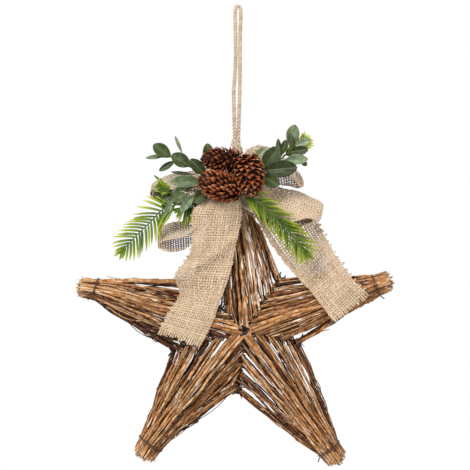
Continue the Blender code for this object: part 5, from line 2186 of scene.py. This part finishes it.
@dataclass(frozen=True)
class NeedleSprig:
    """An artificial pine twig: needles in rows along both sides of a stem, swept forward.

    The stem's places are in tenths of a millimetre.
    """

    name: str
    node: str
    stem: tuple
    bare: float
    count: int
    needle: float
    sweep_angle: float
    green: float
    hang: float
    seed: int
    needle_radius: float = 0.00145
    unruly: float = 1.0
    stem_radius: float = 0.001
    stem_points: int = 120
    needle_points: int = 7

    def build(self, finish: Material) -> None:
        """Needles: path = foot + l (t way + t^2 droop), slim at the foot and drawn to a point.

        Args:
            finish: the needles' material.
        """
        rng = np.random.default_rng(self.seed)
        last = self.stem_points - 1
        line = curve_through(tenths(self.stem), self.stem_points)
        n = self.count
        at = np.linspace(self.bare, 0.992, n) + rng.uniform(-0.006, 0.006, n) * self.unruly
        index = np.clip(at * last, 1, last - 1)
        foot = points_at(line, np.arange(self.stem_points), index)
        low = index.astype(int)
        ahead = unit(line[np.minimum(low + 1, last)] - line[low - 1])
        side = np.where(np.arange(n) % 2 == 0, 1.0, -1.0)
        flatways = unit(np.cross(ahead, FRONT)) * side[:, None]
        roll = np.radians(rng.normal(0.0, 24.0, n)) * self.unruly
        outward = swung(roll, flatways, FRONT)
        end = ease((at - 0.8) / 0.2)
        spread = self.sweep_angle * (1.0 + rng.uniform(-0.12, 0.12, n) * self.unruly) * (1.0 - 0.55 * end)
        way = swung(np.radians(spread), ahead, outward)
        t = np.linspace(0.0, 1.0, self.needle_points)[None, :, None]
        size = (self.needle * rng.uniform(0.85, 1.05, n) * (1.0 - 0.6 * end))[:, None, None]
        droop = ahead * 0.1 - UP * self.hang
        paths = foot[:, None] + size * (way[:, None] * t + droop[:, None] * t**2)
        profile = self.needle_radius * np.interp(t[0, :, 0], (0, 0.15, 0.7, 1.0), (0.6, 0.95, 0.92, 0.22))
        radii = profile[None] * rng.uniform(0.85, 1.15, (n, 1))
        mark = np.broadcast_to(t[..., 0] * 0.95, (n, self.needle_points))
        tint = np.clip(rng.normal(self.green, 0.16, n), 0, 1)
        needles = sweep(paths, radii, 5, outward[:, None], tint=tint, mark=mark, offset=rng.uniform(0, 2, n))
        radii = self.stem_radius * np.linspace(1.1, 0.6, self.stem_points)[None]
        stem = sweep(line[None], radii, 8, STEM_NORMAL, mark=-1.0)
        Shape.joined([needles, stem]).piece(self.name, finish, [self.node], "pine_needle")


SPRIGS = (
    NeedleSprig("left_pine_needles", "left_pine_sprig",
                ((-190, -420, -2420), (-360, -455, -2430), (-600, -470, -2440),
                 (-900, -480, -2514), (-1060, -475, -2666), (-1262, -460, -2862),
                 (-1440, -420, -3055)),
                0.385, 37, 0.0278, 53.0, 0.44, 0.05, 3, 0.00165, 0.4),
    NeedleSprig("right_pine_needles", "right_pine_sprig",
                ((60, -400, -2340), (200, -490, -2400), (440, -560, -2600),
                 (685, -560, -2865), (855, -520, -3085)),
                0.03, 72, 0.0255, 46.0, 0.3, 0.06, 5, 0.00118),
    NeedleSprig("lower_pine_needles", "lower_pine_sprig",
                ((-220, -370, -2400), (-480, -420, -2440), (-720, -430, -2550)),
                0.05, 40, 0.019, 55.0, 0.12, 0.3, 7),
    NeedleSprig("side_pine_needles", "left_pine_sprig",
                ((-810, -470, -2335), (-890, -480, -2285), (-965, -480, -2235)),
                0.1, 24, 0.012, 44.0, 0.1, 0.0, 15, 0.00115),
    NeedleSprig("upper_pine_needles", "upper_pine_sprig",
                ((560, -240, -1860), (740, -250, -1760), (865, -260, -1665)),
                0.1, 34, 0.014, 54.0, 1.0, -0.08, 11),
)
CONES = (
    PineCone("upper_left_cone", (-0.0205, -0.043, -0.1925), 0.053, 0.035, (-1.0, -0.1, 0.06), -0.52, 21,
             125, 0.36, 14.0),
    PineCone("lower_left_cone", (-0.0235, -0.056, -0.2237), 0.057, 0.04, (-0.92, -0.25, 0.34), -0.06, 22,
             165, 0.25, 33.0),
    PineCone("right_cone", (0.014, -0.049, -0.2105), 0.056, 0.039, (0.12, -0.2, -1.0), -0.02, 23,
             120, 0.44, 6.0),
)


def main() -> None:
    """Builds every sub-assembly in order."""
    logging.basicConfig(level=logging.INFO, format="%(name)s %(message)s")
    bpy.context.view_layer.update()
    Studio().build(StagePaper().make())
    Twine().build(JUTE.make())
    bark = TwigBark().make()
    for twigs in TWIGS:
        twigs.build(bark)
    WireWork().build(ROD.make(), TIE.make())
    Bow().build(BURLAP.make())
    cone_wood = ConeWood().make()
    for cone in CONES:
        cone.build(cone_wood)
    skin = LeafSkin().make()
    for sprig in (LEFT_LEAVES, RIGHT_LEAVES):
        sprig.build(skin)
    wax = NeedleSkin().make()
    for sprig in SPRIGS:
        sprig.build(wax)


if __name__ == "__main__":
    main()
